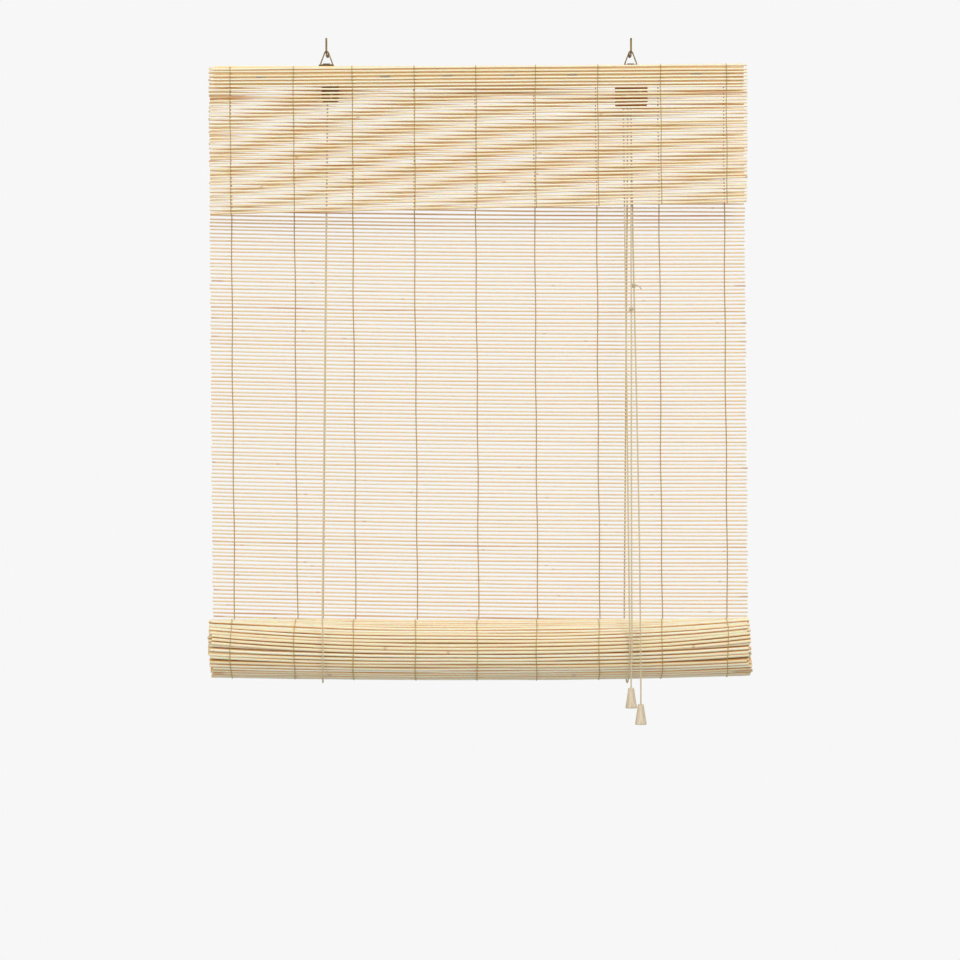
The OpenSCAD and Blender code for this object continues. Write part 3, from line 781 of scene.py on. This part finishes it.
@dataclass(frozen=True)
class SplintSizes:
    """Sizes of one set of splints, lengths in millimetres."""

    length: float
    radius: float
    ragged: float
    sway: float
    waves: float
    steps: int
    seed: int
    bow: float = 0.0
    lean: float = 0.0
    barrel: float = 0.0
    fan: float = 0.0
    # share of painted shade on these splints
    age: float = 0.0
    centre: tuple[float, ...] = (0.0, 0.0, 0.0)

    def inputs(self) -> dict[str, object]:
        """The sizes by the tool's named inputs, lengths in metres; the centre is given in metres."""
        lengths = ("length", "radius", "ragged", "sway", "bow")
        return {name.title(): value * MM if name in lengths else value for name, value in asdict(self).items()}


@dataclass
class Kit:
    """What every sub-assembly builds with."""

    finishes: Finishes
    splints: SplintTool
    cords: CordTool

    def finished(self, tool: NodeTool, source: Piece, sizes: Mapping[str, object],
                 slot: Slot) -> Piece:
        """Runs a tool on a source mesh and gives the piece the material of a slot.

        Args:
            tool: the tool.
            source: what it works on.
            sizes: its named inputs.
            slot: the slot whose material the piece gets.

        Returns:
            The piece.
        """
        made = tool.run(source, {**sizes, "Material": self.finishes[slot]})
        LOG.info("%s: %d faces", made.name, len(made.data.polygons))
        return made

    def sweep(self, name: str, chains: Sequence[Chain], radius: float, slot: Slot, sides: int = 8,
              girths: Optional[Numbers] = None) -> Piece:
        """Sweeps a round section along chains.

        Args:
            name: the piece's name.
            chains: the chains.
            radius: the section's radius in millimetres.
            slot: the piece's slot.
            sides: sides of the section.
            girths: share of the radius at each point, 1 where it is left out.

        Returns:
            The piece.
        """
        places: Chain = []
        edges: list[tuple[int, int]] = []
        for chain in chains:
            first = len(places)
            places.extend(chain)
            edges.extend((k, k + 1) for k in range(first, len(places) - 1))
        source = source_mesh(name, places, edges, {"girth": girths or [1.0] * len(places)})
        return self.finished(self.cords, source, {"Radius": radius * MM, "Sides": sides}, slot)

    def lay(self, name: str, places: Sequence[Vector], sizes: SplintSizes,
            **numbers: Numbers) -> Piece:
        """Lays splints on points.

        Args:
            name: the piece's name.
            places: the middles of the splints.
            sizes: the sizes of the splints.
            numbers: slope, turn or stoutness of each splint, where it isn't plain.

        Returns:
            The piece.
        """
        plain = {"slope": 0.0, "turn": 0.0, "stout": 1.0}
        full = {label: numbers.get(label, [value] * len(places)) for label, value in plain.items()}
        return self.finished(self.splints, source_mesh(name, places, [], full), sizes.inputs(), Slot.BAMBOO)


@dataclass
class Mat:
    """Sizes that the mat, the valance and the roll share, in millimetres."""

    width: float = 600.0
    splint_r: float = 1.15
    pitch: float = 4.0
    thread_r: float = 0.48
    thread_sides: int = 5
    thread_steps: int = 4
    thread_out: float = 1.4
    thread_swell: float = 0.25
    columns: tuple[float, ...] = (-275.4, -204.8, -139.3, -70.2, -1.6, 64.3, 133.8, 203.8, 276.8)
    column_slant: float = 0.0078
    column_mid_z: float = -390.0

    def thread_marks(self, splints: int) -> list[float]:
        """Where a strand has points, counted in splints, from half above the first to half below the last."""
        steps, half = self.thread_steps, self.thread_steps // 2
        return [k / steps for k in range(-half, (splints - 1) * steps + half + 1)]

    def thread_girths(self, splints: int) -> list[float]:
        """Girth at every point of both strands of all columns, fuller where they cross between the splints, which
        is also where the thread gets painted shade.
        """
        strand = [1 + self.thread_swell * math.sin(math.pi * mark) ** 2 for mark in self.thread_marks(splints)]
        return strand * (2 * len(self.columns))

    def column_x(self, column: float, z: float) -> float:
        """Where a hand-tied column, which runs a little out of plumb, lies at a height."""
        return column + self.column_slant * (self.column_mid_z - z)

    def tie(self, kit: Kit, name: str, chains: Sequence[Chain],
            girths: Optional[Numbers] = None) -> Piece:
        """Sweeps the threads of all columns."""
        return kit.sweep(name, chains, self.thread_r, Slot.THREAD, self.thread_sides, girths)


@dataclass
class Strip(ABC):
    """A flat stretch of splints and threads, in millimetres and degrees."""

    mat: Mat
    splints: int
    plane_y: float
    top_z: float
    slope_top: float
    slope_foot: float

    def slope(self, index: float) -> float:
        """Slope of a splint in radians, higher to the right."""
        return math.radians(self.slope_top + (self.slope_foot - self.slope_top) * index / (self.splints - 1))

    @abstractmethod
    def height(self, index: float, x: float = 0.0) -> float:
        """Height of a splint at a place along it."""

    @abstractmethod
    def stray(self, index: float, column: float) -> float:
        """How far the threads of a column lie beside it at a splint."""

    def slopes(self, seed: int, spread: float) -> list[float]:
        """Slopes of all splints in radians, each a little off by chance."""
        rng = random.Random(seed)
        return [self.slope(i) + math.radians(rng.gauss(0, spread)) for i in range(self.splints)]

    def threads(self) -> list[Chain]:
        """Runs two strands down each column, which cross between the splints.

        Returns:
            Two chains for each column.
        """
        chains = []
        for column in self.mat.columns:
            for side in (-1, 1):
                chain = []
                for index in self.mat.thread_marks(self.splints):
                    x = self.mat.column_x(column, self.height(index)) + self.stray(index, column)
                    out = side * math.cos(math.pi * index) * self.mat.thread_out
                    chain.append(at(x, self.plane_y + out, self.height(index, x)))
                chains.append(chain)
        return chains


@dataclass
class HangingMat(Strip):
    """The flat part of the mat, from the headrail down behind the roll, tied loosely behind the valance."""

    splints: int = 151
    plane_y: float = -6.8
    top_z: float = -19.0
    slope_top: float = -0.35
    slope_foot: float = -0.8
    covered: int = 35
    covered_slope: float = -0.9
    covered_stout: float = 0.38
    stout_fade: int = 10
    loose_pitch: float = 4.7
    upper_pitch: float = 4.1
    lower_pitch: float = 4.26
    thin_r: float = 0.85
    foot_z: float = -665.0
    bow: float = 2.0
    seed: int = 11
    unevenness: float = 0.035

    def slope(self, index: float) -> float:
        """Slope of a splint in radians, higher to the right; the loosely tied ones lean more."""
        behind = min(max(index / self.covered, 0.0), 1.0)
        return super().slope(index) + math.radians(self.covered_slope * math.sin(math.pi * behind))

    def height(self, index: float, x: float = 0.0) -> float:
        """Finds the height of a splint at a place along it.

        Args:
            index: the splint's number, from the top.
            x: the place.

        Returns:
            The height.
        """
        below = max(index - self.covered, 0.0)
        spread = (self.lower_pitch - self.upper_pitch) / (self.splints - 1 - self.covered)
        fallen = min(index, self.covered) * self.loose_pitch + below * (self.upper_pitch + spread * below / 2)
        middle = self.top_z - self.mat.splint_r - fallen
        return middle + x * math.tan(self.slope(index)) + self.bow * (2 * x / self.mat.width) ** 2

    def stray(self, index: float, column: float) -> float:
        """How far the threads of a column lie beside it at a splint."""
        return 0.35 * math.sin(index * 0.21 + column) + 0.2 * math.sin(index * 0.073 - column)

    def stoutness(self, index: int) -> float:
        """Girth of a splint as a share of the thin one, fuller behind the valance."""
        return 1 + self.covered_stout * min(max((self.covered - index) / self.stout_fade, 0.0), 1.0)

    def build(self, kit: Kit) -> None:
        """Makes the splints and threads.

        Args:
            kit: the tools and materials.
        """
        numbers = range(self.splints)
        places = [at(self.mat.column_x(0, z), self.plane_y, z) for z in map(self.height, numbers)]
        # the hanging mat's splints get painted shade
        sizes = SplintSizes(self.mat.width, self.thin_r, ragged=1.5, sway=0.6, waves=9.0, steps=25, seed=3,
                            bow=self.bow, age=0.4)
        splints = kit.lay("mat_splints", places, sizes, slope=self.slopes(self.seed, self.unevenness),
                          stout=[self.stoutness(i) for i in numbers])
        threads = self.mat.tie(kit, "mat_warp", self.threads(), self.mat.thread_girths(self.splints))
        for piece, node in ((splints, "hanging_mat"), (threads, "mat_threads")):
            follow(piece, Body.RAIL, node)
            gather(piece, self.top_z, self.foot_z)


@dataclass
class Valance(Strip):
    """The short strip of mat in front of the headrail."""

    splints: int = 41
    plane_y: float = -35.56
    top_z: float = -17.4
    slope_top: float = 0.37
    slope_foot: float = 1.33
    thick_r: float = 1.27
    pitch: float = 3.9
    length: float = 598.0
    column_shift: float = 1.4
    seed: int = 23
    unevenness: float = 0.05

    def height(self, index: float, x: float = 0.0) -> float:
        """Height of a splint at a place along it."""
        return self.top_z - index * self.pitch + x * math.tan(self.slope(index))

    def stray(self, index: float, column: float) -> float:
        """How far the threads of a column lie beside that of the mat at a splint."""
        return self.column_shift + 0.3 * math.sin(index * 0.3 + column)

    def build(self, kit: Kit) -> None:
        """Makes the splints and threads, which stay with the headrail.

        Args:
            kit: the tools and materials.
        """
        places = [at(0, self.plane_y, self.height(i)) for i in range(self.splints)]
        sizes = SplintSizes(self.length, self.thick_r, ragged=0.9, sway=0.8, waves=8.0, steps=31, seed=17)
        splints = kit.lay("valance_splints", places, sizes, slope=self.slopes(self.seed, self.unevenness))
        threads = self.mat.tie(kit, "valance_warp", self.threads())
        for piece, node in ((splints, "valance"), (threads, "valance_threads")):
            follow(piece, Body.RAIL, node)


@dataclass
class Roll:
    """The rolled part of the mat: one long spiral of splints round the bottom bar."""

    mat: Mat
    middle_y: float = -44.51
    middle_z: float = -665.0
    outer: float = 35.0
    length: float = 596.0
    thick_r: float = 1.84
    core: float = 8.2
    turn_pitch: float = 2.7
    thread_steps: int = 106
    thread_proud: float = 0.1
    thread_dip: float = 0.15
    thread_draw: float = 0.993
    barrel: float = 0.034
    fan: float = 0.25
    bow: float = 2.6
    lean: float = 0.39
    seed: int = 5

    def spiral(self) -> list[tuple[float, float]]:
        """Winds the mat up from where it comes down behind the roll, under it and inwards.

        Returns:
            Radius and angle of each splint.
        """
        made = []
        radius, angle = self.outer - self.thick_r, 0.0
        while radius > self.core:
            made.append((radius, angle))
            step = self.mat.pitch / radius
            angle -= step
            radius -= self.turn_pitch * step / TURN
        return made

    def squeeze(self, x: float) -> float:
        """Share of the radius that is left at a place along the roll."""
        return 1 - self.barrel * (2 * x / self.mat.width) ** 2

    def lift_at(self, x: float) -> float:
        """How much higher the roll lies at a place along it than at its middle."""
        share = 2 * x / self.mat.width
        return self.bow * share * share * (1 + share * self.lean)

    def threads(self) -> list[Chain]:
        """Runs a thread in each column along the outer turn.

        Returns:
            One chain for each column.
        """
        chains = []
        for column in self.mat.columns:
            chain = []
            high = self.middle_z + self.lift_at(column)
            for k in range(self.thread_steps + 1):
                turn = -TURN * k / self.thread_steps
                radius = self.outer - self.turn_pitch * k / self.thread_steps + self.thread_proud
                radius = (radius + self.thread_dip * math.cos(math.pi * k)) * self.squeeze(column)
                x = column * self.thread_draw + 0.5 * math.sin(turn * 3 + column)
                chain.append(at(x, self.middle_y + radius * math.cos(turn), high + radius * math.sin(turn)))
            chains.append(chain)
        return chains

    def build(self, kit: Kit) -> None:
        """Makes the splints and threads of the roll.

        Args:
            kit: the tools and materials.
        """
        rng = random.Random(self.seed)
        spiral = self.spiral()
        places = []
        for radius, angle in spiral:
            near = radius + rng.uniform(-0.25, 0.1)
            places.append(at(rng.uniform(0.4, 2.4) - 1.5 * math.sin(angle), self.middle_y + near * math.cos(angle),
                             self.middle_z + near * math.sin(angle)))
        sizes = SplintSizes(
            self.length, self.thick_r, ragged=4.0, sway=1.0, waves=7.0, steps=21, seed=29, bow=self.bow,
            lean=self.lean, barrel=self.barrel, fan=self.fan, centre=tuple(at(0, self.middle_y, self.middle_z)))
        splints = kit.lay("roll_splints", places, sizes, turn=[angle for _, angle in spiral])
        threads = self.mat.tie(kit, "roll_warp", self.threads())
        for piece, node in ((splints, "mat_roll"), (threads, "roll_threads")):
            follow(piece, Body.ROLL, node)


@dataclass
class Rigging:
    """Sizes that the lift cords and the pull cords share, in millimetres."""

    cord_r: float = 0.8
    wheel_r: float = 4.4
    wheel_z: float = -48.7
    left_wheel_x: float = -164.6
    lock_wheel_x: float = 165.8
    front_y: float = -19.78
    rear_y: float = -14.58
    hem_z: float = -185.0

    def cord(self, kit: Kit, name: str, chain: Chain, girths: Optional[Numbers] = None) -> Piece:
        """Sweeps one stretch of cord."""
        return kit.sweep(name, [chain], self.cord_r, Slot.CORD, girths=girths)


@dataclass(frozen=True)
class LiftSide:
    """Where one lift cord runs, in millimetres."""

    name: str
    wheel_x: float
    wheel_y: float
    front_x: float
    back_x: float
    anchor_x: float


@dataclass
class LiftCords:
    """The two lift cords: over the pulleys, down in front, under the roll and up behind the mat."""

    rigging: Rigging
    roll: Roll
    sling_r: float = 36.73
    back_y: float = -4.25
    bend_z: float = -630.0
    anchor_z: float = -18.15
    sag: float = 1.6
    sag_shares: tuple[float, ...] = (0.12, 0.25, 0.4, 0.55, 0.7, 0.82, 0.92)
    arc_steps: int = 18
    wheel_steps: int = 14
    back_steps: int = 60
    knot_girth: float = 1.35

    def front(self, side: LiftSide) -> Chain:
        """Leads a cord from its wheel to the front of the roll, upright where it leaves the roll.

        Args:
            side: where the cord runs.

        Returns:
            The cord's chain.
        """
        front_y = self.roll.middle_y - self.sling_r
        start = at(side.wheel_x - self.rigging.wheel_r, side.wheel_y, self.rigging.wheel_z)
        bend = at(side.front_x - 0.6, front_y - 0.1, self.bend_z)
        foot = at(side.front_x, front_y, self.roll.middle_z)
        sag = [at(0, -self.sag * math.sin(math.pi * share), 0) for share in self.sag_shares]
        slack = [start.lerp(bend, share) + fall for share, fall in zip(self.sag_shares, sag)]
        return smooth([start, *slack, bend, bend.lerp(foot, 0.5), foot], 6 * MM)

    def sling(self, side: LiftSide) -> Chain:
        """Leads a cord under the roll from its front to behind the mat, a little aslant.

        Args:
            side: where the cord runs.

        Returns:
            The cord's chain.
        """
        middle_y, middle_z = self.roll.middle_y, self.roll.middle_z
        back_r = self.back_y - middle_y
        chain = arc((middle_y, middle_z), self.sling_r, 180, 270, self.arc_steps)
        chain += arc((middle_y, middle_z - self.sling_r + back_r), back_r, 270, 360, self.arc_steps)[1:]
        lean = (side.back_x - side.front_x) / (len(chain) - 1)
        return [place + at(side.front_x + lean * k, 0, 0) for k, place in enumerate(chain)]

    def over(self, x: float, y: float) -> Chain:
        """Half round a wheel, from its left side over its top to its right side."""
        turns, rig = [math.pi * (1 - k / self.wheel_steps) for k in range(self.wheel_steps + 1)], self.rigging
        return [at(x + rig.wheel_r * math.cos(t), y, rig.wheel_z + rig.wheel_r * math.sin(t)) for t in turns]

    def build(self, kit: Kit) -> None:
        """Makes every stretch of both cords and ties it to what it follows.

        Args:
            kit: the tools and materials.
        """
        rig = self.rigging
        back_z = self.roll.middle_z - self.sling_r + self.back_y - self.roll.middle_y
        girths = [1.0] * self.back_steps + [self.knot_girth]
        sides = (
            LiftSide("left", rig.left_wheel_x, rig.rear_y, front_x=-171.2, back_x=-174.6, anchor_x=-169.0),
            LiftSide("right", rig.lock_wheel_x, rig.front_y, front_x=166.5, back_x=163.0, anchor_x=167.5),
        )
        for side in sides:
            upper, lower = cut(self.front(side), rig.hem_z)
            follow(rig.cord(kit, f"{side.name}_lift_cord_top", upper), Body.RAIL)
            front = rig.cord(kit, f"{side.name}_lift_cord_front", lower)
            follow(front, Body.RAIL, f"{side.name}_cord_front_run")
            gather(front, rig.hem_z, self.roll.middle_z)
            foot, knot = at(side.back_x, self.back_y, back_z), at(side.anchor_x, self.back_y, self.anchor_z)
            rise = [foot.lerp(knot, k / self.back_steps) for k in range(self.back_steps + 1)]
            behind = rig.cord(kit, f"{side.name}_lift_cord_back", rise, girths)
            follow(behind, Body.RAIL, f"{side.name}_cord_back_run")
            gather(behind, self.anchor_z, back_z)
            sling = rig.cord(kit, f"{side.name}_sling", self.sling(side))
            follow(sling, Body.SLINGS, f"{side.name}_cord_sling")
        near, far = self.over(rig.left_wheel_x, rig.rear_y), self.over(rig.lock_wheel_x, rig.rear_y)
        top = self.wheel_steps // 2
        cross = rig.cord(kit, "left_lift_cord_cross", smooth(near[:top + 1] + far[top:], 3 * MM))
        follow(cross, Body.RAIL, "left_cord_cross_run")
        bend = rig.cord(kit, "right_lift_cord_bend", self.over(rig.lock_wheel_x, rig.front_y))
        follow(bend, Body.RAIL, "right_cord_over_wheel")


@dataclass
class PullCord:
    """One pull cord, from the cord lock past its knot and the roll to its tassel, in millimetres."""

    side: str
    end_body: Body
    rigging: Rigging
    run: tuple[tuple[float, float], ...]
    knot_at: int
    wheel_y: float
    end_x: float
    end_drop: float
    tail: float
    lock_x: float = 170.0
    roll_z: float = -665.0
    front_y: float = -83.84
    end_y: float = -86.94
    roll_front_z: float = -640.0
    knot_r: float = 1.45
    knot_lobe: float = 0.7
    knot_depth: float = 1.5
    knot_thin: float = 0.95
    tassel_h: float = 22.5
    tassel_hollow: float = 13.0
    tassel_sides: int = 32
    foot_r: float = 6.4
    top_r: float = 3.4

    def route(self) -> Chain:
        """Leads the cord down from the lock to the roll's height by shares of the way, then into the tassel.

        Returns:
            The points on the way.
        """
        made = []
        for share, drift in self.run:
            y = self.wheel_y + (self.front_y - self.wheel_y) * share
            z = self.rigging.wheel_z + (self.roll_z - self.rigging.wheel_z) * share
            made.append(at(self.lock_x + drift, y, z))
        end = at(self.lock_x + self.end_x, self.end_y, self.roll_z - self.end_drop)
        return made + [end + at(0, 0.3, self.tail), end]

    def knot_chain(self) -> Chain:
        """Ties a small overhand knot with a loose tail.

        Returns:
            The knot's chain.
        """
        centre = self.route()[self.knot_at]
        chain = []
        for k in range(61):
            t = TURN * k / 60 * 1.02
            ring = self.knot_r + self.knot_lobe * math.cos(3 * t)
            deep = self.knot_depth * math.sin(3 * t)
            chain.append(centre + at(ring * math.cos(2 * t), ring * math.sin(2 * t) - 0.3, deep))
        last = chain[-1]
        lean = 1 if self.end_body is Body.RIGHT_END else -1
        chain += [last + at(lean * 0.75 * k, -0.25 * k, 0.16 * k - 0.09 * k * k) for k in range(1, 9)]
        return chain

    def tassel(self, kit: Kit) -> Piece:
        """Turns a wooden bell with a rounded top and a hollow foot.

        Args:
            kit: the tools and materials.

        Returns:
            The bell.
        """
        end = self.route()[-1]
        wide, narrow, top, foot = self.foot_r, self.top_r, self.tassel_h - self.tassel_hollow, -self.tassel_hollow
        profile = [
            (1.1, top - 0.5), (1.5, top - 0.05), (2.3, top), (3.0, top - 0.35), (narrow, top - 1.1),
            (narrow + 0.12, top - 2.6), (narrow + 0.6, top - 6), (narrow + 1.35, top - 11),
            (narrow + 2.2, top - 16.5), (wide - 0.2, foot + 2.6), (wide, foot + 1.1), (wide - 0.12, foot + 0.45),
            (wide - 0.5, foot), (wide - 1.3, foot + 0.05), (4.3, foot + 0.5), (4.2, foot + 4), (3.9, -0.6),
            (2.0, 0.0), (1.1, 0.4),
        ]
        count, sides = len(profile), self.tassel_sides
        places, faces = [], []
        for k in range(sides):
            turn, here, beside = TURN * k / sides, k * count, (k + 1) % sides * count
            places += [end + at(r * math.cos(turn), r * math.sin(turn), z) for r, z in profile]
            for i in range(count):
                below = (i + 1) % count
                faces.append((here + i, here + below, beside + below, beside + i))
        mesh = bpy.data.meshes.new(f"{self.side}_bell")
        mesh.from_pydata(places, [], faces)
        mesh.polygons.foreach_set("use_smooth", [True] * len(faces))
        mesh.materials.append(kit.finishes[Slot.TASSEL_WOOD])
        bell = linked(mesh.name, mesh)
        follow(bell, self.end_body, f"{self.side}_tassel")
        return bell

    def build(self, kit: Kit) -> None:
        """Args:
            kit: the tools and materials.
        """
        rig = self.rigging
        upper, rest = cut(smooth(self.route(), 4 * MM), rig.hem_z)
        middle, lower = cut(rest, self.roll_front_z)
        bell = self.tassel(kit)
        top = rig.cord(kit, f"{self.side}_pull_top", upper)
        follow(top, Body.RAIL)
        knot = kit.sweep(f"{self.side}_knot", [self.knot_chain()], rig.cord_r * self.knot_thin, Slot.CORD)
        pull = rig.cord(kit, f"{self.side}_pull_middle", middle)
        for piece in (pull, knot):
            follow(piece, Body.RAIL)
            gather(piece, rig.hem_z, self.roll_front_z)
        end = rig.cord(kit, f"{self.side}_pull_end", lower)
        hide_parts(f"{self.side}_pull_cord")
        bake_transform(end)
        stretches = ((top, upper, "object", []), (pull, middle, "object", [knot]), (end, lower, "fitting", [bell]))
        for piece, chain, far_end, pieces in stretches:
            chain_length(chain)


LEFT_RUN = (
    (0, 0.2), (0.033, 0.2), (0.081, 0.1), (0.146, 0), (0.211, -0.2), (0.276, -0.4), (0.333, -0.5),
    (0.387, -0.5), (0.455, -0.6), (0.537, -0.8), (0.618, -1.1), (0.699, -1.2), (0.78, -1.3), (0.862, -1.4),
    (0.943, -1.4), (1, -1.4),
)
RIGHT_RUN = (
    (0, 0.2), (0.033, 0.3), (0.081, 0.5), (0.146, 0.9), (0.211, 1.5), (0.276, 2), (0.3445, 2.7), (0.407, 3.4),
    (0.488, 4.3), (0.569, 5.2), (0.65, 6), (0.732, 6.8), (0.813, 7.4), (0.894, 7.8), (0.959, 8), (1, 8.1),
)


@dataclass
class Hardware:
    """The rigid CAD pieces that stay, and the ridges of the hooks' screws, in millimetres."""

    screw_r: float = 1.7
    screw_l: float = 15.0
    point_y: float = 13.0
    ridge_pitch: float = 1.5
    ridge_r: float = 0.22
    ridge_steps: int = 16
    hook_x: float = 170.0
    lip_r: float = 1.15
    lip_half: float = 8.5
    lip_y: float = -22.2
    lip_z: float = -14.3
    slots: dict[Slot, tuple[str, ...]] = field(default_factory=lambda: {
        Slot.PALE_WOOD: ("headrail", "bottom_bar"),
        Slot.BRASS: ("left_wall_hook", "right_wall_hook", "left_hanger_ring", "right_hanger_ring"),
        Slot.BRONZE: ("left_hanger_plate", "right_hanger_plate", "left_pulley_bracket", "cord_lock_housing"),
        Slot.WHEEL: ("left_pulley_wheel", "lock_front_wheel", "lock_rear_wheel"),
        Slot.STEEL: ("hanger_nails", "mat_staples", "valance_staples", "cord_anchor_staples", "left_pulley_axle",
                     "lock_axle", "lock_pawl", "lock_pawl_pin", "bracket_screws"),
        Slot.CORD: ("left_end_knot", "right_end_knot"),
    })

    def ridge(self, x: float) -> Chain:
        """Winds the ridge round one screw.

        Args:
            x: the screw's place.

        Returns:
            The ridge's helix.
        """
        steps = round(self.screw_l / self.ridge_pitch * self.ridge_steps)
        chain = []
        for k in range(steps + 1):
            turn, y = TURN * k / self.ridge_steps, 1 + (self.screw_l - 2) * k / steps
            radius = self.screw_r - max(0.0, y - self.point_y) * 0.4
            chain.append(at(x + radius * math.cos(turn), y, radius * math.sin(turn)))
        return chain

    def lip(self, x: float) -> Chain:
        """The rolled front edge of one hanger plate."""
        return [at(x + self.lip_half * k / 8, self.lip_y, self.lip_z) for k in range(-8, 9)]

    def build(self, kit: Kit, nodes: Mapping[str, Piece]) -> None:
        """Paints the CAD pieces that stay, and adds the screws' ridges and the plates' rolled edges.

        Args:
            kit: the tools and materials.
            nodes: the CAD pieces by name.
        """
        for slot, names in self.slots.items():
            for name in names:
                materials = nodes[name].data.materials
                materials.clear()
                # the cord lock gets the lighter copy of the bronze, painted light
                materials.append(kit.finishes.lock if name == "cord_lock_housing" else kit.finishes[slot])
        for side, x in (("left", -self.hook_x), ("right", self.hook_x)):
            ridge = kit.sweep(f"{side}_screw_ridge", [self.ridge(x)], self.ridge_r, Slot.BRASS, sides=5)
            lip = kit.sweep(f"{side}_plate_lip", [self.lip(x)], self.lip_r, Slot.BRONZE, sides=12)
            follow(ridge, Body.RAIL)
            follow(lip, Body.RAIL)


@dataclass
class Studio:
    """Floor, pale surroundings, lamps and the camera, in metres."""

    floor_z: float = -1.75
    floor_half: float = 4.2
    distance: float = 4.1
    frame_width: float = 1.0756
    sensor: float = 36.0
    eye: Vector = field(default_factory=lambda: at(1.5, -6.8, -477.0))
    middle: Vector = field(default_factory=lambda: Vector((0, 0, -0.36)))
    pale: Colour = srgb(247, 247, 247)
    speckle: Colour = srgb(238, 238, 238)
    bounce: Colour = srgb(192, 192, 192)
    ambient: float = 0.56
    from_above: float = 0.18

    def world(self) -> None:
        """Lights evenly from pale surroundings, which camera, gloss and glass see as a plain tone."""
        world = bpy.data.worlds.new("surroundings")
        bpy.context.scene.world = world
        world.use_nodes = True
        graph = Graph(world.node_tree)
        graph.tree.nodes.clear()
        path = graph.add("ShaderNodeLightPath").outputs
        seen = Term(graph, path["Is Camera Ray"]) + path["Is Glossy Ray"] + path["Is Transmission Ray"]
        _, _, high = graph.parts(graph.out("ShaderNodeTexCoord", output="Generated"))
        glow = (high * self.from_above + 1) * self.ambient
        light = graph.out("ShaderNodeBackground", {"Color": (1, 1, 1, 1), "Strength": glow})
        shown = graph.out("ShaderNodeBackground", {"Color": (*self.pale, 1), "Strength": 1.0})
        mixed = graph.out("ShaderNodeMixShader", {0: seen, 1: light, 2: shown})
        graph.add("ShaderNodeOutputWorld", {"Surface": mixed})

    def floor(self) -> None:
        """Lays a plain pale floor far below the blind."""
        mesh = bpy.data.meshes.new("floor")
        half = self.floor_half
        corners = [(x * half, y * half, self.floor_z) for x, y in ((-1, -1), (1, -1), (1, 1), (-1, 1))]
        mesh.from_pydata(corners, [], [(0, 1, 2, 3)])
        finish = Finish("pale_floor")
        speckles = finish.graph.noise(finish.place(), 40.0, 3.0)
        seen = finish.graph.term("ShaderNodeLightPath", output="Is Camera Ray")
        worn = finish.mix(speckles * 0.2, self.pale, self.speckle)
        finish.feed({"Base Color": finish.mix(seen, self.bounce, worn), "Roughness": 0.9})
        mesh.materials.append(finish.material)
        linked("floor", mesh)

    def lamp(self, name: str, place: Numbers, size: float, power: float) -> None:
        """Adds one soft round lamp that looks at the middle of the blind.

        Args:
            name: the lamp's name.
            place: where it stands.
            size: its width.
            power: its power in watts.
        """
        data = bpy.data.lights.new(name, "AREA")
        data.shape, data.size, data.energy = "DISK", size, power
        lamp = linked(name, data)
        lamp.location = place
        lamp.rotation_euler = (self.middle - Vector(place)).to_track_quat("-Z", "Y").to_euler()

    def camera(self) -> None:
        """Sets a level camera straight in front of the blind."""
        data = bpy.data.cameras.new("camera")
        data.sensor_width = self.sensor
        data.lens = self.sensor * self.distance / self.frame_width
        data.clip_end = 50
        camera = linked("camera", data)
        camera.location = self.eye + Vector((0, -self.distance, 0))
        camera.rotation_euler = (math.pi / 2, 0, 0)
        bpy.context.scene.camera = camera

    def build(self) -> None:
        """Sets up the whole studio."""
        bpy.context.scene.view_settings.view_transform = "Standard"
        self.world()
        self.floor()
        self.lamp("key", (1.3, -2.2, 1.7), size=1.2, power=41)
        self.lamp("fill", (-1.8, -2.6, 0.2), size=1.6, power=25)
        self.lamp("back", (0.4, 2.4, 1.2), size=1.6, power=26)
        self.camera()


def main() -> None:
    """Builds the blind's looks around its frame."""
    logging.basicConfig(level=logging.INFO, format="%(name)s: %(message)s")
    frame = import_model()
    Studio().build()
    kit = Kit(Finishes(), SplintTool(), CordTool())
    mat, rig = Mat(), Rigging()
    roll = Roll(mat)
    PullCord("left", Body.LEFT_END, rig, LEFT_RUN, knot_at=7, wheel_y=rig.front_y, end_x=-2.4, end_drop=49.7,
             tail=23).build(kit)
    PullCord("right", Body.RIGHT_END, rig, RIGHT_RUN, knot_at=6, wheel_y=rig.rear_y, end_x=8.2, end_drop=67.7,
             tail=35).build(kit)
    LiftCords(rig, roll).build(kit)
    HangingMat(mat).build(kit)
    Valance(mat).build(kit)
    roll.build(kit)
    Hardware().build(kit, frame["nodes"])


if __name__ == "__main__":
    main()
